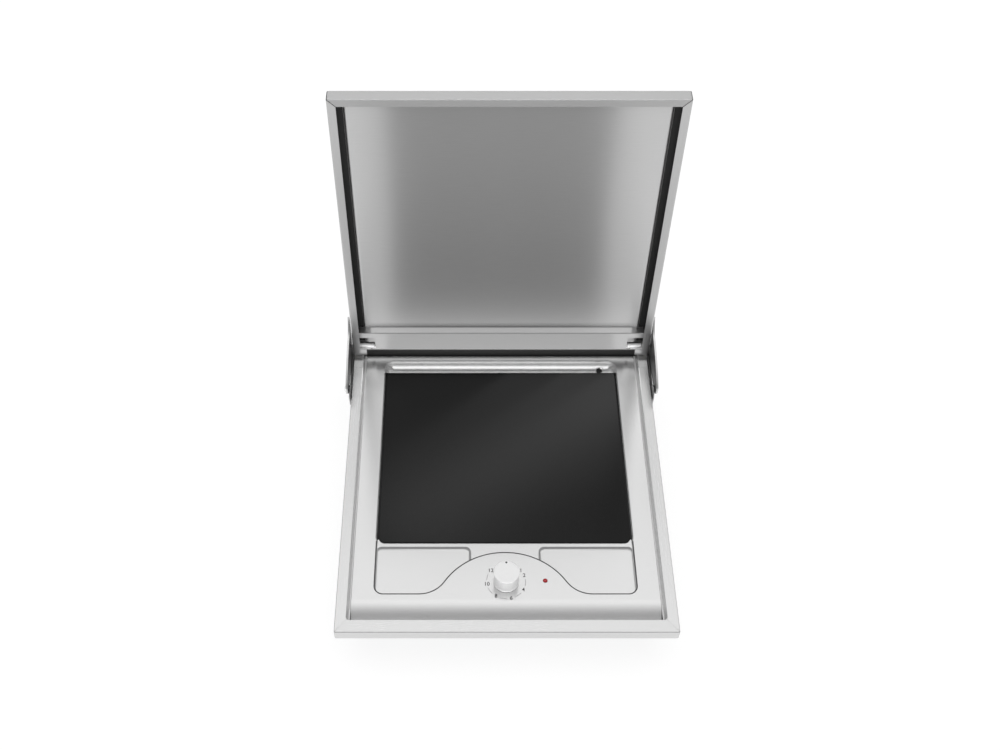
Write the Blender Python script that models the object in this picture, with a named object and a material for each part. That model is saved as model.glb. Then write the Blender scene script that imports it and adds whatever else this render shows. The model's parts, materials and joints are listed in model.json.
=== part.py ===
"""Built-in electric hot plate with a hinged steel lid, modelled with the lid open at 90 degrees.

All dimensions below are millimetres in the design datum: x across the hob, y behind the rim
plane of the open lid, z above the top face of the outer frame. store() moves every mesh to the
part's own frame (origin under the middle of the bounding box) and scales it to metres.
"""
import math

import bmesh
import bpy
from mathutils import Vector

MM = 0.001
DATUM = Vector((0.0, 235.9, 70.0))

SHEET = 1.5                # frame, collar and deck sheet
THIN_SHEET = 1.2           # lid and casing sheet
GAP = 0.3                  # air left between touching pieces
CORNER_STEPS = 4

# Outer frame
FRAME_X = 240.0
FRAME_FRONT, FRAME_REAR = -494.4, 22.6
OPENING_X = 223.8
OPENING_DRAFT = 2.4                    # how far the side walls lean in down to the deck
OPENING_FRONT, OPENING_REAR = -474.5, 18.4
FRAME_DROP = 17.5
FRAME_CORNER, OPENING_CORNER = 2.5, 4.3
FRAME_LIPS = (6.5, 8.0, 2.4)           # seat lip width at the sides, front and rear
SEAM_Y = -20.0

# Collar that hangs in the worktop cut-out
COLLAR_TOP, COLLAR_LEDGE, COLLAR_BOTTOM = -17.8, -48.0, -49.5
LEDGE_WIDTH = 10.0

# Pressed deck
DECK_X, DECK_REAR, DECK_TOP, DECK_BOTTOM = 220.5, 14.4, -12.0, -47.7
DECK_EDGE = 1.3
ROLL_START, ROLL_END, ROLL_RADIUS = -436.0, -471.0, 48.0
WELL_X, WELL_FRONT, WELL_BACK, WELL_INNER_X = 187.0, -426.6, -349.0, 50.0
WELL_FLOOR, BAR_LEVEL, PRESSING_BOTTOM = -19.0, -14.5, -21.0
WELL_CORNER, WELL_BACK_CORNER, WELL_INNER_CORNER = 12.0, 7.0, 8.0
HUMP_RADIUS, HUMP_CENTRE_Y = 105.0, -463.6
HUMP_FOOT_RADIUS, HUMP_FOOT = 42.0, (124.0, -384.6)
TROUGH_RADIUS, TROUGH_Y, TROUGH_X = 12.0, -8.0, 188.5
DRAIN = (162.0, -7.5)
DRAIN_RADIUS = 5.35

# Hot plate and what lies under it
PLATE_X, PLATE_FRONT, PLATE_REAR = 185.6, -342.8, -22.1
PLATE_TOP, PLATE_THICKNESS, PLATE_CORNER = -12.5, 6.0, 10.0
PLATE_GAP = 3.4
ELEMENT_RADIUS, ELEMENT_Z, ELEMENT_PITCH = 3.2, -22.4, 44.0
ELEMENT_X, ELEMENT_FRONT, ELEMENT_RUNS = 140.0, -292.0, 6
TRAY_X, TRAY_FRONT, TRAY_REAR, TRAY_BOTTOM, TRAY_TOP = 170.0, -330.0, -35.0, -39.5, -20.8

# Casing
CASING_X, CASING_FRONT, CASING_REAR = 212.0, -462.5, 4.5
CASING_BOTTOM, CASING_FLANGE_TOP = -70.0, -49.8
CASING_CORNER = 8.0

# Controls
DIAL = (0.8, -407.5)
KNOB_RADIUS, KNOB_TOP = 18.4, 14.6
SHAFT_RADIUS = 3.0
PILOT = (57.0, -406.4)
PILOT_RADIUS = 3.2

# Lid and hinge
LID_X, LID_TOP, LID_BOTTOM, LID_DEPTH = 240.0, 525.0, 8.0, 19.2
RIM_WIDTH, LID_CORNER = 12.0, 2.0
RAIL_BOTTOM, RAIL_TOP, RAIL_LIP = 21.8, 61.0, 13.6
LINER_X, LINER_FACE, LINER_SHEET = 221.0, 14.0, 0.8
LINER_FOLD_RADIUS, LINER_FOLD_SWEEP = 11.0, 34.0
LINER_BOTTOM, LINER_TOP = 24.0, 523.2
DAMPING_SHEET = 0.7
FOOT_INNER_X = 218.0
CUTOUT_INNER_X, CUTOUT_TOP = 203.0, 50.0
PIVOT = (12.8, 16.0)
PIN_RADIUS, BARREL_RADIUS, BARREL_COLLAR = 3.0, 4.5, 4.9
BARREL_INNER_X, BARREL_OUTER_X = 206.0, 229.5
BARREL_POST = (206.8, 212.4)
POST_Y, POST_FOOT, POST_HEAD = (14.7, 17.4), -10.0, 13.2
BRACKET_INNER_X, BRACKET_OUTER_X = 240.6, 242.8
CHEEK_INNER_X, CHEEK_OUTER_X = 243.3, 246.5
SPACER = (-74.0, 11.6)
HINGE_SCREW = (-73.5, -11.0)

# Fasteners and what they hold, by corner
SCREW_X, CLAMP_SCREW_X = 216.5, 234.0
CORNERS = {"front_left": (-1, -400.0), "front_right": (1, -400.0),
           "rear_left": (-1, -60.0), "rear_right": (1, -60.0)}
GLAND_X, GLAND_Z = -60.0, -60.0
VENT_PITCH, VENT_COUNT, VENT_ROWS = 24.0, 11, (-380.0, -120.0)

FINISHES = {               # colour, roughness, metallic
    "steel": ((0.62, 0.62, 0.61, 1.0), 0.32, 1.0),
    "bright": ((0.80, 0.80, 0.80, 1.0), 0.12, 1.0),
    "galvanised": ((0.42, 0.43, 0.44, 1.0), 0.45, 1.0),
    "black_glass": ((0.012, 0.012, 0.013, 1.0), 0.10, 0.0),
    "black_rubber": ((0.010, 0.010, 0.010, 1.0), 0.60, 0.0),
    "element": ((0.16, 0.15, 0.14, 1.0), 0.50, 1.0),
    "insulation": ((0.72, 0.70, 0.64, 1.0), 0.95, 0.0),
    "ivory_plastic": ((0.70, 0.68, 0.60, 1.0), 0.45, 0.0),
    "black_plastic": ((0.020, 0.020, 0.022, 1.0), 0.40, 0.0),
    "red_lens": ((0.60, 0.010, 0.015, 1.0), 0.15, 0.0),
}


def clear_scene():
    for obj in list(bpy.data.objects):
        bpy.data.objects.remove(obj, do_unlink=True)


def material(name, finish):
    colour, roughness, metallic = FINISHES[finish]
    mat = bpy.data.materials.new(name)
    mat.use_nodes = True
    shader = mat.node_tree.nodes["Principled BSDF"]
    shader.inputs["Base Color"].default_value = colour
    shader.inputs["Roughness"].default_value = roughness
    shader.inputs["Metallic"].default_value = metallic
    return mat


def pivot_empty(name, point):
    empty = bpy.data.objects.new(name, None)
    empty.location = (Vector(point) + DATUM) * MM
    bpy.context.scene.collection.objects.link(empty)
    return empty


def store(name, bm, finish, pivot=None):
    """Makes an object of the mesh; a moving piece keeps its origin on its pivot."""
    bmesh.ops.recalc_face_normals(bm, faces=bm.faces)
    origin = pivot.location if pivot else Vector()
    for vert in bm.verts:
        vert.co = (vert.co + DATUM) * MM - origin
    mesh = bpy.data.meshes.new(name)
    bm.to_mesh(mesh)
    bm.free()
    mesh.shade_smooth()
    mesh.set_sharp_from_angle(angle=math.radians(30))
    mesh.materials.append(material(name, finish))
    obj = bpy.data.objects.new(name, mesh)
    bpy.context.scene.collection.objects.link(obj)
    obj.parent = pivot
    return obj


def helper(name, bm):
    """Stores a mesh that only shapes other pieces."""
    obj = store(name, bm, "steel")
    obj.hide_render = True
    obj.display_type = "WIRE"
    return obj


def combine(obj, other, operation):
    boolean = obj.modifiers.new(other.name, "BOOLEAN")
    boolean.operation = operation
    boolean.solver = "EXACT"
    boolean.object = other


def cut(obj, *cutters):
    for cutter in cutters:
        combine(obj, cutter, "DIFFERENCE")


# Outlines and lofts

def arc(centre, radius, start, end, steps):
    """Points on a circle from one angle to another, in degrees."""
    angles = [math.radians(start + (end - start) * i / steps) for i in range(steps + 1)]
    return [(centre[0] + radius * math.cos(a), centre[1] + radius * math.sin(a)) for a in angles]


def bezier(p0, p1, p2, p3, steps):
    points = []
    for i in range(1, steps + 1):
        t = i / steps
        weights = ((1 - t) ** 3, 3 * t * (1 - t) ** 2, 3 * t * t * (1 - t), t ** 3)
        points.append(tuple(sum(w * p[k] for w, p in zip(weights, (p0, p1, p2, p3)))
                            for k in range(2)))
    return points


def rounded_rect(a0, b0, a1, b1, radii, steps=CORNER_STEPS):
    """Anticlockwise outline; radii run from the low corner anticlockwise."""
    corners = ((a0, b0, 1, 1, 180), (a1, b0, -1, 1, 270), (a1, b1, -1, -1, 0), (a0, b1, 1, -1, 90))
    points = []
    for (a, b, sign_a, sign_b, start), radius in zip(corners, radii):
        centre = (a + sign_a * radius, b + sign_b * radius)
        points += arc(centre, radius, start, start + 90, steps)
    return points


def loft(bm, rings, closed=False):
    """Joins rings of equal length; closed joins the last to the first, else both ends are capped."""
    loops = [[bm.verts.new(point) for point in ring] for ring in rings]
    pairs = list(zip(loops, loops[1:]))
    if closed:
        pairs.append((loops[-1], loops[0]))
    else:
        bm.faces.new(loops[0])
        bm.faces.new(loops[-1])
    for low, high in pairs:
        for i in range(len(low)):
            j = (i + 1) % len(low)
            bm.faces.new((low[i], low[j], high[j], high[i]))


def at_z(outline, z):
    return [(x, y, z) for x, y in outline]


def at_y(outline, y):
    return [(x, y, z) for x, z in outline]


def at_x(outline, x):
    return [(x, y, z) for y, z in outline]


def prism(bm, outline, low, high, place=at_z):
    loft(bm, [place(outline, low), place(outline, high)])


def block(bm, x0, x1, y0, y1, z0, z1):
    prism(bm, [(x0, y0), (x1, y0), (x1, y1), (x0, y1)], z0, z1)


def turned(bm, profile, centre, place, sides, closed=False):
    """Revolves (radius, position) pairs about an axis through centre."""
    rings = []
    for radius, position in profile:
        circle = arc(centre, radius, 0, 360, sides)[:-1]
        rings.append(place(circle, position))
    loft(bm, rings, closed)


def keep_side(bm, point, normal):
    """Removes what the normal points to and closes the cut."""
    geometry = bm.verts[:] + bm.edges[:] + bm.faces[:]
    bmesh.ops.bisect_plane(bm, geom=geometry, plane_co=point, plane_no=normal, clear_outer=True)
    rims = [edge for edge in bm.edges if edge.is_boundary]
    bmesh.ops.holes_fill(bm, edges=rims, sides=0)


# Outer frame and collar

def frame_ring(reference, inset, z):
    """One outline of the frame's section, inset from the outer edge or the opening."""
    side, front, rear = inset if isinstance(inset, tuple) else (inset, inset, inset)
    if reference == "outer":
        radius = max(FRAME_CORNER - side, GAP)
        outline = rounded_rect(-FRAME_X + side, FRAME_FRONT + front, FRAME_X - side,
                               FRAME_REAR - rear, [radius] * 4)
    else:
        radius = max(OPENING_CORNER + side, GAP)
        outline = rounded_rect(-OPENING_X - side, OPENING_FRONT - front, OPENING_X + side,
                               OPENING_REAR + rear, [radius] * 4)
    return at_z(outline, z)


def frame_section():
    edge = SHEET * 0.3
    foot, foot_back = (-OPENING_DRAFT, 0.0, 0.0), (SHEET - OPENING_DRAFT, SHEET, SHEET)
    return (("outer", 0.0, -FRAME_DROP), ("outer", 0.0, -SHEET), ("outer", edge, -edge),
            ("outer", SHEET, 0.0), ("inner", 1.0, 0.0), ("inner", 0.3, -0.3),
            ("inner", 0.0, -1.0), ("inner", foot, DECK_TOP), ("inner", foot, -FRAME_DROP),
            ("inner", foot_back, -FRAME_DROP), ("inner", foot_back, DECK_TOP),
            ("inner", SHEET, -SHEET), ("outer", SHEET, -SHEET),
            ("outer", SHEET, SHEET - FRAME_DROP), ("outer", FRAME_LIPS, SHEET - FRAME_DROP),
            ("outer", FRAME_LIPS, -FRAME_DROP))


def collar_section():
    return (("inner", SHEET, COLLAR_TOP), ("inner", 0.0, COLLAR_TOP),
            ("inner", 0.0, COLLAR_LEDGE), ("inner", -LEDGE_WIDTH, COLLAR_LEDGE),
            ("inner", -LEDGE_WIDTH, COLLAR_BOTTOM), ("inner", SHEET, COLLAR_BOTTOM))


def mitre(side):
    """Corner point and unit normal of a front mitre; the normal points to the front piece."""
    run = Vector((side * (OPENING_X - FRAME_X), OPENING_FRONT - FRAME_FRONT, 0.0))
    normal = Vector((-side * run.y, side * run.x, 0.0)).normalized()
    return Vector((side * FRAME_X, FRAME_FRONT, 0.0)), normal


def ring_members(prefix, section):
    """Cuts a closed ring into front, left, right and rear members."""
    half = GAP / 2
    members = {}
    for member, side in (("front", 0), ("left", -1), ("right", 1), ("rear", 0)):
        bm = bmesh.new()
        loft(bm, [frame_ring(*row) for row in section], closed=True)
        if member == "front":
            for corner, normal in (mitre(-1), mitre(1)):
                keep_side(bm, corner + normal * half, -normal)
        elif member == "rear":
            keep_side(bm, (0, SEAM_Y + half, 0), (0, -1, 0))
        else:
            corner, normal = mitre(side)
            keep_side(bm, corner - normal * half, normal)
            keep_side(bm, (0, SEAM_Y - half, 0), (0, 1, 0))
            keep_side(bm, (0, 0, 0), (-side, 0, 0))
        members[member] = store(f"{prefix}_{member}", bm, "steel")
    return members


# Deck

def deck_outline(offset, bottom):
    """Side view of the deck, drawn inwards by offset at the top, the front roll and the rear."""
    radius = ROLL_RADIUS - offset
    sweep = math.degrees(math.asin((ROLL_START - ROLL_END) / ROLL_RADIUS))
    roll = arc((ROLL_START, DECK_TOP - ROLL_RADIUS), radius, 90, 90 + sweep, 8)
    front = roll[-1][0]
    return [(front, bottom)] + roll[::-1] + [(DECK_REAR - DECK_EDGE, DECK_TOP - offset),
                                             (DECK_REAR - offset, DECK_TOP - DECK_EDGE),
                                             (DECK_REAR - offset, bottom)]


def deck_shell():
    bm = bmesh.new()
    shoulder = DECK_EDGE * (1 - math.sqrt(0.5))
    stations = ((DECK_X, DECK_EDGE), (DECK_X - shoulder, shoulder), (DECK_X - DECK_EDGE, 0.0))
    left = [at_x(deck_outline(inset, DECK_BOTTOM), -x) for x, inset in stations]
    right = [at_x(deck_outline(inset, DECK_BOTTOM), x) for x, inset in reversed(stations)]
    loft(bm, left + right)
    return store("hob_deck", bm, "steel")


def deck_void():
    bm = bmesh.new()
    outline = deck_outline(SHEET, DECK_BOTTOM - SHEET)
    inner = DECK_X - SHEET
    prism(bm, outline, -inner, inner, at_x)
    return helper("deck_void", bm)


def hump_tangent():
    """Angle at the hump's centre where its crest meets a foot arc."""
    reach = Vector(HUMP_FOOT) - Vector((0.0, HUMP_CENTRE_Y))
    return math.degrees(math.atan2(reach.y, reach.x))


def hump_curve(offset=0.0):
    """Left to right along the hump, drawn inwards by offset."""
    angle = hump_tangent()
    foot = HUMP_FOOT_RADIUS + offset
    left = arc((-HUMP_FOOT[0], HUMP_FOOT[1]), foot, 270, 360 - angle, 5)
    crest = arc((0.0, HUMP_CENTRE_Y), HUMP_RADIUS - offset, 180 - angle, angle, 12)
    right = arc(HUMP_FOOT, foot, 180 + angle, 270, 5)
    return left[:-1] + crest + right[1:]


def front_recess(level):
    """The area of the wells and the bar between them and the plate, as a cutter."""
    back = PLATE_FRONT + 1.0
    corner = WELL_CORNER
    left = arc((-WELL_X + corner, WELL_FRONT + corner), corner, 180, 270, 4)
    right = arc((WELL_X - corner, WELL_FRONT + corner), corner, 270, 360, 4)
    outline = [(-WELL_X, back)] + left + hump_curve() + right + [(WELL_X, back)]
    bm = bmesh.new()
    prism(bm, outline, level, 0.0)
    return helper("front_recess", bm)


def well_cutter(side, floor):
    """A front well: straight back and outer edges, and the hump's curve inside."""
    crest_end = math.degrees(math.acos(WELL_INNER_X / HUMP_RADIUS))
    angle = hump_tangent()
    foot = arc(HUMP_FOOT, HUMP_FOOT_RADIUS, 270, 180 + angle, 5)
    crest = arc((0.0, HUMP_CENTRE_Y), HUMP_RADIUS, angle, crest_end, 5)
    inner, back, outer = WELL_INNER_CORNER, WELL_BACK_CORNER, WELL_CORNER
    outline = foot[:-1] + crest
    outline += arc((WELL_INNER_X + inner, WELL_BACK - inner), inner, 180, 90, 4)
    outline += arc((WELL_X - back, WELL_BACK - back), back, 90, 0, 4)
    outline += arc((WELL_X - outer, WELL_FRONT + outer), outer, 0, -90, 4)
    bm = bmesh.new()
    prism(bm, [(side * x, y) for x, y in outline], floor, 0.5)
    return helper("well_right" if side > 0 else "well_left", bm)


def half_disc(bm, radius, half_length, top):
    """Lower half of a cylinder along x, carried straight up to top."""
    outline = arc((TROUGH_Y, DECK_TOP), radius, 180, 360, 12)
    if top > DECK_TOP:
        outline += [(TROUGH_Y + radius, top), (TROUGH_Y - radius, top)]
    prism(bm, outline, -half_length, half_length, at_x)


def trough_slot():
    reach = TROUGH_RADIUS + SHEET + GAP
    edge = TROUGH_X + SHEET + GAP
    bm = bmesh.new()
    block(bm, -edge, edge, TROUGH_Y - reach, TROUGH_Y + reach, DECK_TOP - SHEET - 1.0, 1.0)
    return helper("trough_slot", bm)


def drip_trough():
    """Half-round channel with closed ends, set in a slot of the deck."""
    bm = bmesh.new()
    half_disc(bm, TROUGH_RADIUS + SHEET, TROUGH_X + SHEET, DECK_TOP)
    trough = store("drip_trough", bm, "steel")
    bm = bmesh.new()
    half_disc(bm, TROUGH_RADIUS, TROUGH_X, 1.0)
    hollow = helper("trough_hollow", bm)
    bm = bmesh.new()
    turned(bm, ((DRAIN_RADIUS, -40.0), (DRAIN_RADIUS, 5.0)), DRAIN, at_z, 20)
    cut(trough, hollow, helper("drain_hole", bm))


def pocket_under_hump():
    front = WELL_FRONT - SHEET
    outline = [(-HUMP_FOOT[0], front - 1.0)] + hump_curve(SHEET) + [(HUMP_FOOT[0], front - 1.0)]
    bm = bmesh.new()
    prism(bm, outline, PRESSING_BOTTOM - 1.0, DECK_TOP - SHEET)
    return helper("pocket_under_hump", bm)


def well_pressing():
    edge = WELL_X + SHEET
    bm = bmesh.new()
    block(bm, -edge, edge, WELL_FRONT - SHEET, PLATE_FRONT + 0.5, PRESSING_BOTTOM,
          DECK_TOP - SHEET / 2)
    return helper("well_pressing", bm)


def plate_opening():
    reach = PLATE_GAP
    outline = rounded_rect(-PLATE_X - reach, PLATE_FRONT - reach, PLATE_X + reach,
                           PLATE_REAR + 0.4, [PLATE_CORNER + reach] * 2 + [GAP] * 2)
    bm = bmesh.new()
    prism(bm, outline, PRESSING_BOTTOM - 2.0, 0.2)
    return helper("plate_opening", bm)


def deck_holes():
    bm = bmesh.new()
    for centre, radius in ((DIAL, SHAFT_RADIUS + 1.5), (PILOT, PILOT_RADIUS + GAP)):
        turned(bm, ((radius, -30.0), (radius, 5.0)), centre, at_z, 20)
    return helper("deck_holes", bm)


def hob_deck():
    deck = deck_shell()
    cut(deck, deck_void())
    combine(deck, well_pressing(), "UNION")
    cut(deck, pocket_under_hump(), plate_opening(), front_recess(BAR_LEVEL))
    cut(deck, well_cutter(-1, WELL_FLOOR), well_cutter(1, WELL_FLOOR))
    cut(deck, trough_slot(), deck_holes())


# Heated part

def hot_plate():
    bottom = PLATE_TOP - PLATE_THICKNESS
    rings = []
    for inset, z in ((0.8, bottom), (0.0, bottom + 0.8), (0.0, PLATE_TOP - 0.8), (0.8, PLATE_TOP)):
        radii = [PLATE_CORNER - inset] * 2 + [3.0 - inset] * 2
        outline = rounded_rect(-PLATE_X + inset, PLATE_FRONT + inset, PLATE_X - inset,
                               PLATE_REAR - inset, radii, 6)
        rings.append(at_z(outline, z))
    bm = bmesh.new()
    loft(bm, rings)
    store("hot_plate", bm, "black_glass")


def plate_seal():
    """Black seal round the front and sides of the plate."""
    end = PLATE_REAR - 2.0
    outer_x, outer_y = PLATE_X + PLATE_GAP - GAP, PLATE_FRONT - PLATE_GAP + GAP
    inner_x, inner_y = PLATE_X + GAP, PLATE_FRONT - GAP
    outer_r, inner_r = PLATE_CORNER + PLATE_GAP - GAP, PLATE_CORNER + GAP
    outline = [(-outer_x, end)]
    outline += arc((-outer_x + outer_r, outer_y + outer_r), outer_r, 180, 270, 6)
    outline += arc((outer_x - outer_r, outer_y + outer_r), outer_r, 270, 360, 6)
    outline += [(outer_x, end), (inner_x, end)]
    outline += arc((inner_x - inner_r, inner_y + inner_r), inner_r, 360, 270, 6)
    outline += arc((-inner_x + inner_r, inner_y + inner_r), inner_r, 270, 180, 6)
    outline += [(-inner_x, end)]
    bm = bmesh.new()
    prism(bm, outline, PLATE_TOP - PLATE_THICKNESS, PLATE_TOP - 1.6)
    store("plate_seal", bm, "black_rubber")


def plate_rails():
    """Z-section bearers that carry the sides of the plate from the deck's underside."""
    under = DECK_TOP - SHEET - GAP
    shelf = PLATE_TOP - PLATE_THICKNESS - GAP
    edge = PLATE_X + PLATE_GAP + GAP
    outline = [(176.0, shelf - SHEET), (edge + SHEET, shelf - SHEET), (edge + SHEET, under - SHEET),
               (202.0, under - SHEET), (202.0, under), (edge, under), (edge, shelf), (176.0, shelf)]
    for name, side in (("plate_rail_left", -1), ("plate_rail_right", 1)):
        bm = bmesh.new()
        prism(bm, [(side * x, z) for x, z in outline], -336.0, -30.0, at_y)
        store(name, bm, "galvanised")


def serpentine():
    """Centre line of the heating tube: straight runs joined by half circles."""
    turn = ELEMENT_PITCH / 2
    points = [(-ELEMENT_X, ELEMENT_FRONT)]
    for run in range(ELEMENT_RUNS):
        y = ELEMENT_FRONT + run * ELEMENT_PITCH
        direction = 1 if run % 2 == 0 else -1
        end = direction * (ELEMENT_X - turn)
        points.append((end, y))
        if run < ELEMENT_RUNS - 1:
            bend = arc((end, y + turn), turn, -90, -90 + 180 * direction, 8)
            points += bend[1:]
    points.append((ELEMENT_X * direction, y))
    return points


def heating_element():
    path = [Vector((x, y, ELEMENT_Z)) for x, y in serpentine()]
    rings = []
    for i, point in enumerate(path):
        ahead = (path[min(i + 1, len(path) - 1)] - path[max(i - 1, 0)]).normalized()
        across = ahead.cross(Vector((0, 0, 1)))
        circle = arc((0.0, 0.0), ELEMENT_RADIUS, 0, 360, 8)[:-1]
        rings.append([point + across * a + Vector((0, 0, b)) for a, b in circle])
    bm = bmesh.new()
    loft(bm, rings)
    store("heating_element", bm, "element")


def pan_rings(x, front, rear, bottom, top, sheet, radius):
    rings = []
    for inset, z in ((0.0, bottom), (0.0, top), (sheet, top), (sheet, bottom + sheet)):
        outline = rounded_rect(-x + inset, front + inset, x - inset, rear - inset,
                               [radius - inset] * 4)
        rings.append(at_z(outline, z))
    return rings


def element_tray():
    bm = bmesh.new()
    loft(bm, pan_rings(TRAY_X, TRAY_FRONT, TRAY_REAR, TRAY_BOTTOM, TRAY_TOP, 1.0, 6.0))
    store("element_tray", bm, "galvanised")


def insulation_pad():
    inset = 1.0 + GAP
    outline = rounded_rect(-TRAY_X + inset, TRAY_FRONT + inset, TRAY_X - inset,
                           TRAY_REAR - inset, [5.0] * 4)
    bm = bmesh.new()
    prism(bm, outline, TRAY_BOTTOM + inset, ELEMENT_Z - ELEMENT_RADIUS - GAP)
    store("insulation_pad", bm, "insulation")


# Casing, drain and electrics

def casing_screw_holes():
    """One cutter for each corner's screw, shared by the collar and the casing."""
    cutters = {}
    for corner, (side, y) in CORNERS.items():
        bm = bmesh.new()
        turned(bm, ((2.3, -54.0), (2.3, -44.0)), (side * SCREW_X, y), at_z, 12)
        cutters[corner] = helper(f"casing_hole_{corner}", bm)
    return cutters


def casing_screws():
    top = CASING_FLANGE_TOP - THIN_SHEET - GAP
    profile = ((2.6, top - 1.8), (3.6, top - 1.2), (3.6, top), (1.9, top), (1.9, -45.0))
    for corner, (side, y) in CORNERS.items():
        bm = bmesh.new()
        turned(bm, profile, (side * SCREW_X, y), at_z, 12)
        store(f"casing_screw_{corner}", bm, "bright")


def bottom_casing(screw_holes):
    flange_bottom = CASING_FLANGE_TOP - THIN_SHEET
    floor = CASING_BOTTOM + THIN_SHEET
    wall = (CASING_X, CASING_FRONT, CASING_REAR)
    flange = (OPENING_X + 0.7, OPENING_FRONT - 0.7, OPENING_REAR + 0.7)
    inset = THIN_SHEET
    inner = (CASING_X - inset, CASING_FRONT + inset, CASING_REAR - inset)
    rings = []
    for (x, front, rear), z, radius in ((wall, CASING_BOTTOM, CASING_CORNER),
                                        (wall, flange_bottom, CASING_CORNER),
                                        (flange, flange_bottom, 4.0),
                                        (flange, CASING_FLANGE_TOP, 4.0),
                                        (inner, CASING_FLANGE_TOP, CASING_CORNER - inset),
                                        (inner, floor, CASING_CORNER - inset)):
        rings.append(at_z(rounded_rect(-x, front, x, rear, [radius] * 4), z))
    bm = bmesh.new()
    loft(bm, rings)
    casing = store("bottom_casing", bm, "galvanised")
    bm = bmesh.new()
    turned(bm, ((8.0, -75.0), (8.0, -60.0)), DRAIN, at_z, 20)
    turned(bm, ((6.3, -2.0), (6.3, 12.0)), (GLAND_X, GLAND_Z), at_y, 20)
    for column in range(VENT_COUNT):
        centre = (column - VENT_COUNT // 2) * VENT_PITCH
        for row in VENT_ROWS:
            prism(bm, rounded_rect(centre - 2.0, row - 14.0, centre + 2.0, row + 14.0,
                                   [1.9] * 4, 2), -75.0, -60.0)
    cut(casing, helper("casing_cuts", bm), *screw_holes.values())


def cable_gland():
    profile = ((4.2, 0.5), (6.0, 0.5), (6.0, 4.8), (9.0, 4.8), (9.0, 9.0), (7.6, 9.5),
               (7.6, 14.5), (6.4, 17.0), (4.2, 17.0))
    bm = bmesh.new()
    turned(bm, profile, (GLAND_X, GLAND_Z), at_y, 20, closed=True)
    store("cable_gland", bm, "black_plastic")


def terminal_block():
    """Moulded block with a stepped row of three wire ports."""
    low = CASING_BOTTOM + THIN_SHEET + GAP
    outline = [(-40.0, low), (-14.0, low), (-14.0, low + 7.0), (-19.0, low + 7.0),
               (-19.0, low + 14.0), (-35.0, low + 14.0), (-35.0, low + 7.0), (-40.0, low + 7.0)]
    bm = bmesh.new()
    prism(bm, outline, GLAND_X - 24.0, GLAND_X + 24.0, at_x)
    store("terminal_block", bm, "ivory_plastic")


def drain_spout():
    seat = DECK_TOP - TROUGH_RADIUS - SHEET - GAP
    wall = DRAIN_RADIUS + 1.45
    profile = ((DRAIN_RADIUS, seat), (DRAIN_RADIUS, -69.0), (wall, -69.0), (wall, seat - SHEET),
               (10.0, seat - SHEET), (10.0, seat))
    bm = bmesh.new()
    turned(bm, profile, DRAIN, at_z, 20, closed=True)
    store("drain_spout", bm, "steel")


def energy_regulator():
    x, y = DIAL
    top = PRESSING_BOTTOM - 1.0
    bm = bmesh.new()
    prism(bm, rounded_rect(x - 22.0, y - 19.0, x + 22.0, y + 19.0, [3.0] * 4, 2), top - 28.0, top)
    body = store("energy_regulator", bm, "ivory_plastic")
    bm = bmesh.new()
    turned(bm, ((5.4, top - 2.0), (5.4, DECK_TOP - SHEET - GAP)), DIAL, at_z, 20)
    combine(body, helper("regulator_neck", bm), "UNION")
    bm = bmesh.new()
    bore = SHAFT_RADIUS + 0.4
    turned(bm, ((bore, top - 12.0), (bore, 0.0)), DIAL, at_z, 20)
    cut(body, helper("regulator_bore", bm))


def pilot_lamp():
    r = PILOT_RADIUS
    seat = DECK_TOP - SHEET - GAP
    dome = ((r, seat), (r, DECK_TOP + 0.2), (r * 0.9, DECK_TOP + 0.9), (r * 0.6, DECK_TOP + 1.5),
            (r * 0.2, DECK_TOP + 1.8))
    bm = bmesh.new()
    turned(bm, ((4.2, seat - 2.0), (4.2, seat)) + dome, PILOT, at_z, 20)
    store("pilot_lens", bm, "red_lens")
    bm = bmesh.new()
    top = seat - 2.0 - GAP
    turned(bm, ((3.6, top - 18.0), (4.4, top - 17.0), (4.4, top)), PILOT, at_z, 16)
    store("pilot_lamp_body", bm, "black_plastic")


# Knob

def knob(pivot):
    low = DECK_TOP + GAP
    bore, r, top = SHAFT_RADIUS + GAP, KNOB_RADIUS, KNOB_TOP
    profile = ((bore, 6.0), (bore, low), (r, low), (r, low + 1.6), (r - 0.9, low + 2.4),
               (r - 1.3, low + 6.0), (r - 1.0, top - 8.0), (r - 0.2, top - 2.0),
               (r - 0.3, top - 0.8), (r - 1.0, top))
    bm = bmesh.new()
    turned(bm, profile, DIAL, at_z, 40)
    body = store("knob", bm, "bright", pivot)
    dot = (DIAL[0], DIAL[1] + r - 2.9)
    bm = bmesh.new()
    turned(bm, ((1.6, top - 0.6), (1.6, top + 1.0)), dot, at_z, 14)
    cut(body, helper("index_pocket", bm))
    bm = bmesh.new()
    turned(bm, ((1.3, top - GAP), (1.3, top + 0.1)), dot, at_z, 14)
    store("knob_index", bm, "black_plastic", pivot)
    bm = bmesh.new()
    turned(bm, ((2.4, -32.0), (SHAFT_RADIUS, -31.0), (SHAFT_RADIUS, 5.4)), DIAL, at_z, 16)
    store("regulator_shaft", bm, "bright", pivot)


# Lid

def lid_ring(inset, y):
    radius = max(LID_CORNER - inset, GAP)
    outline = rounded_rect(-LID_X + inset, LID_BOTTOM - 40.0, LID_X - inset, LID_TOP - inset,
                           [radius] * 4)
    return at_y(outline, y)


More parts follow.
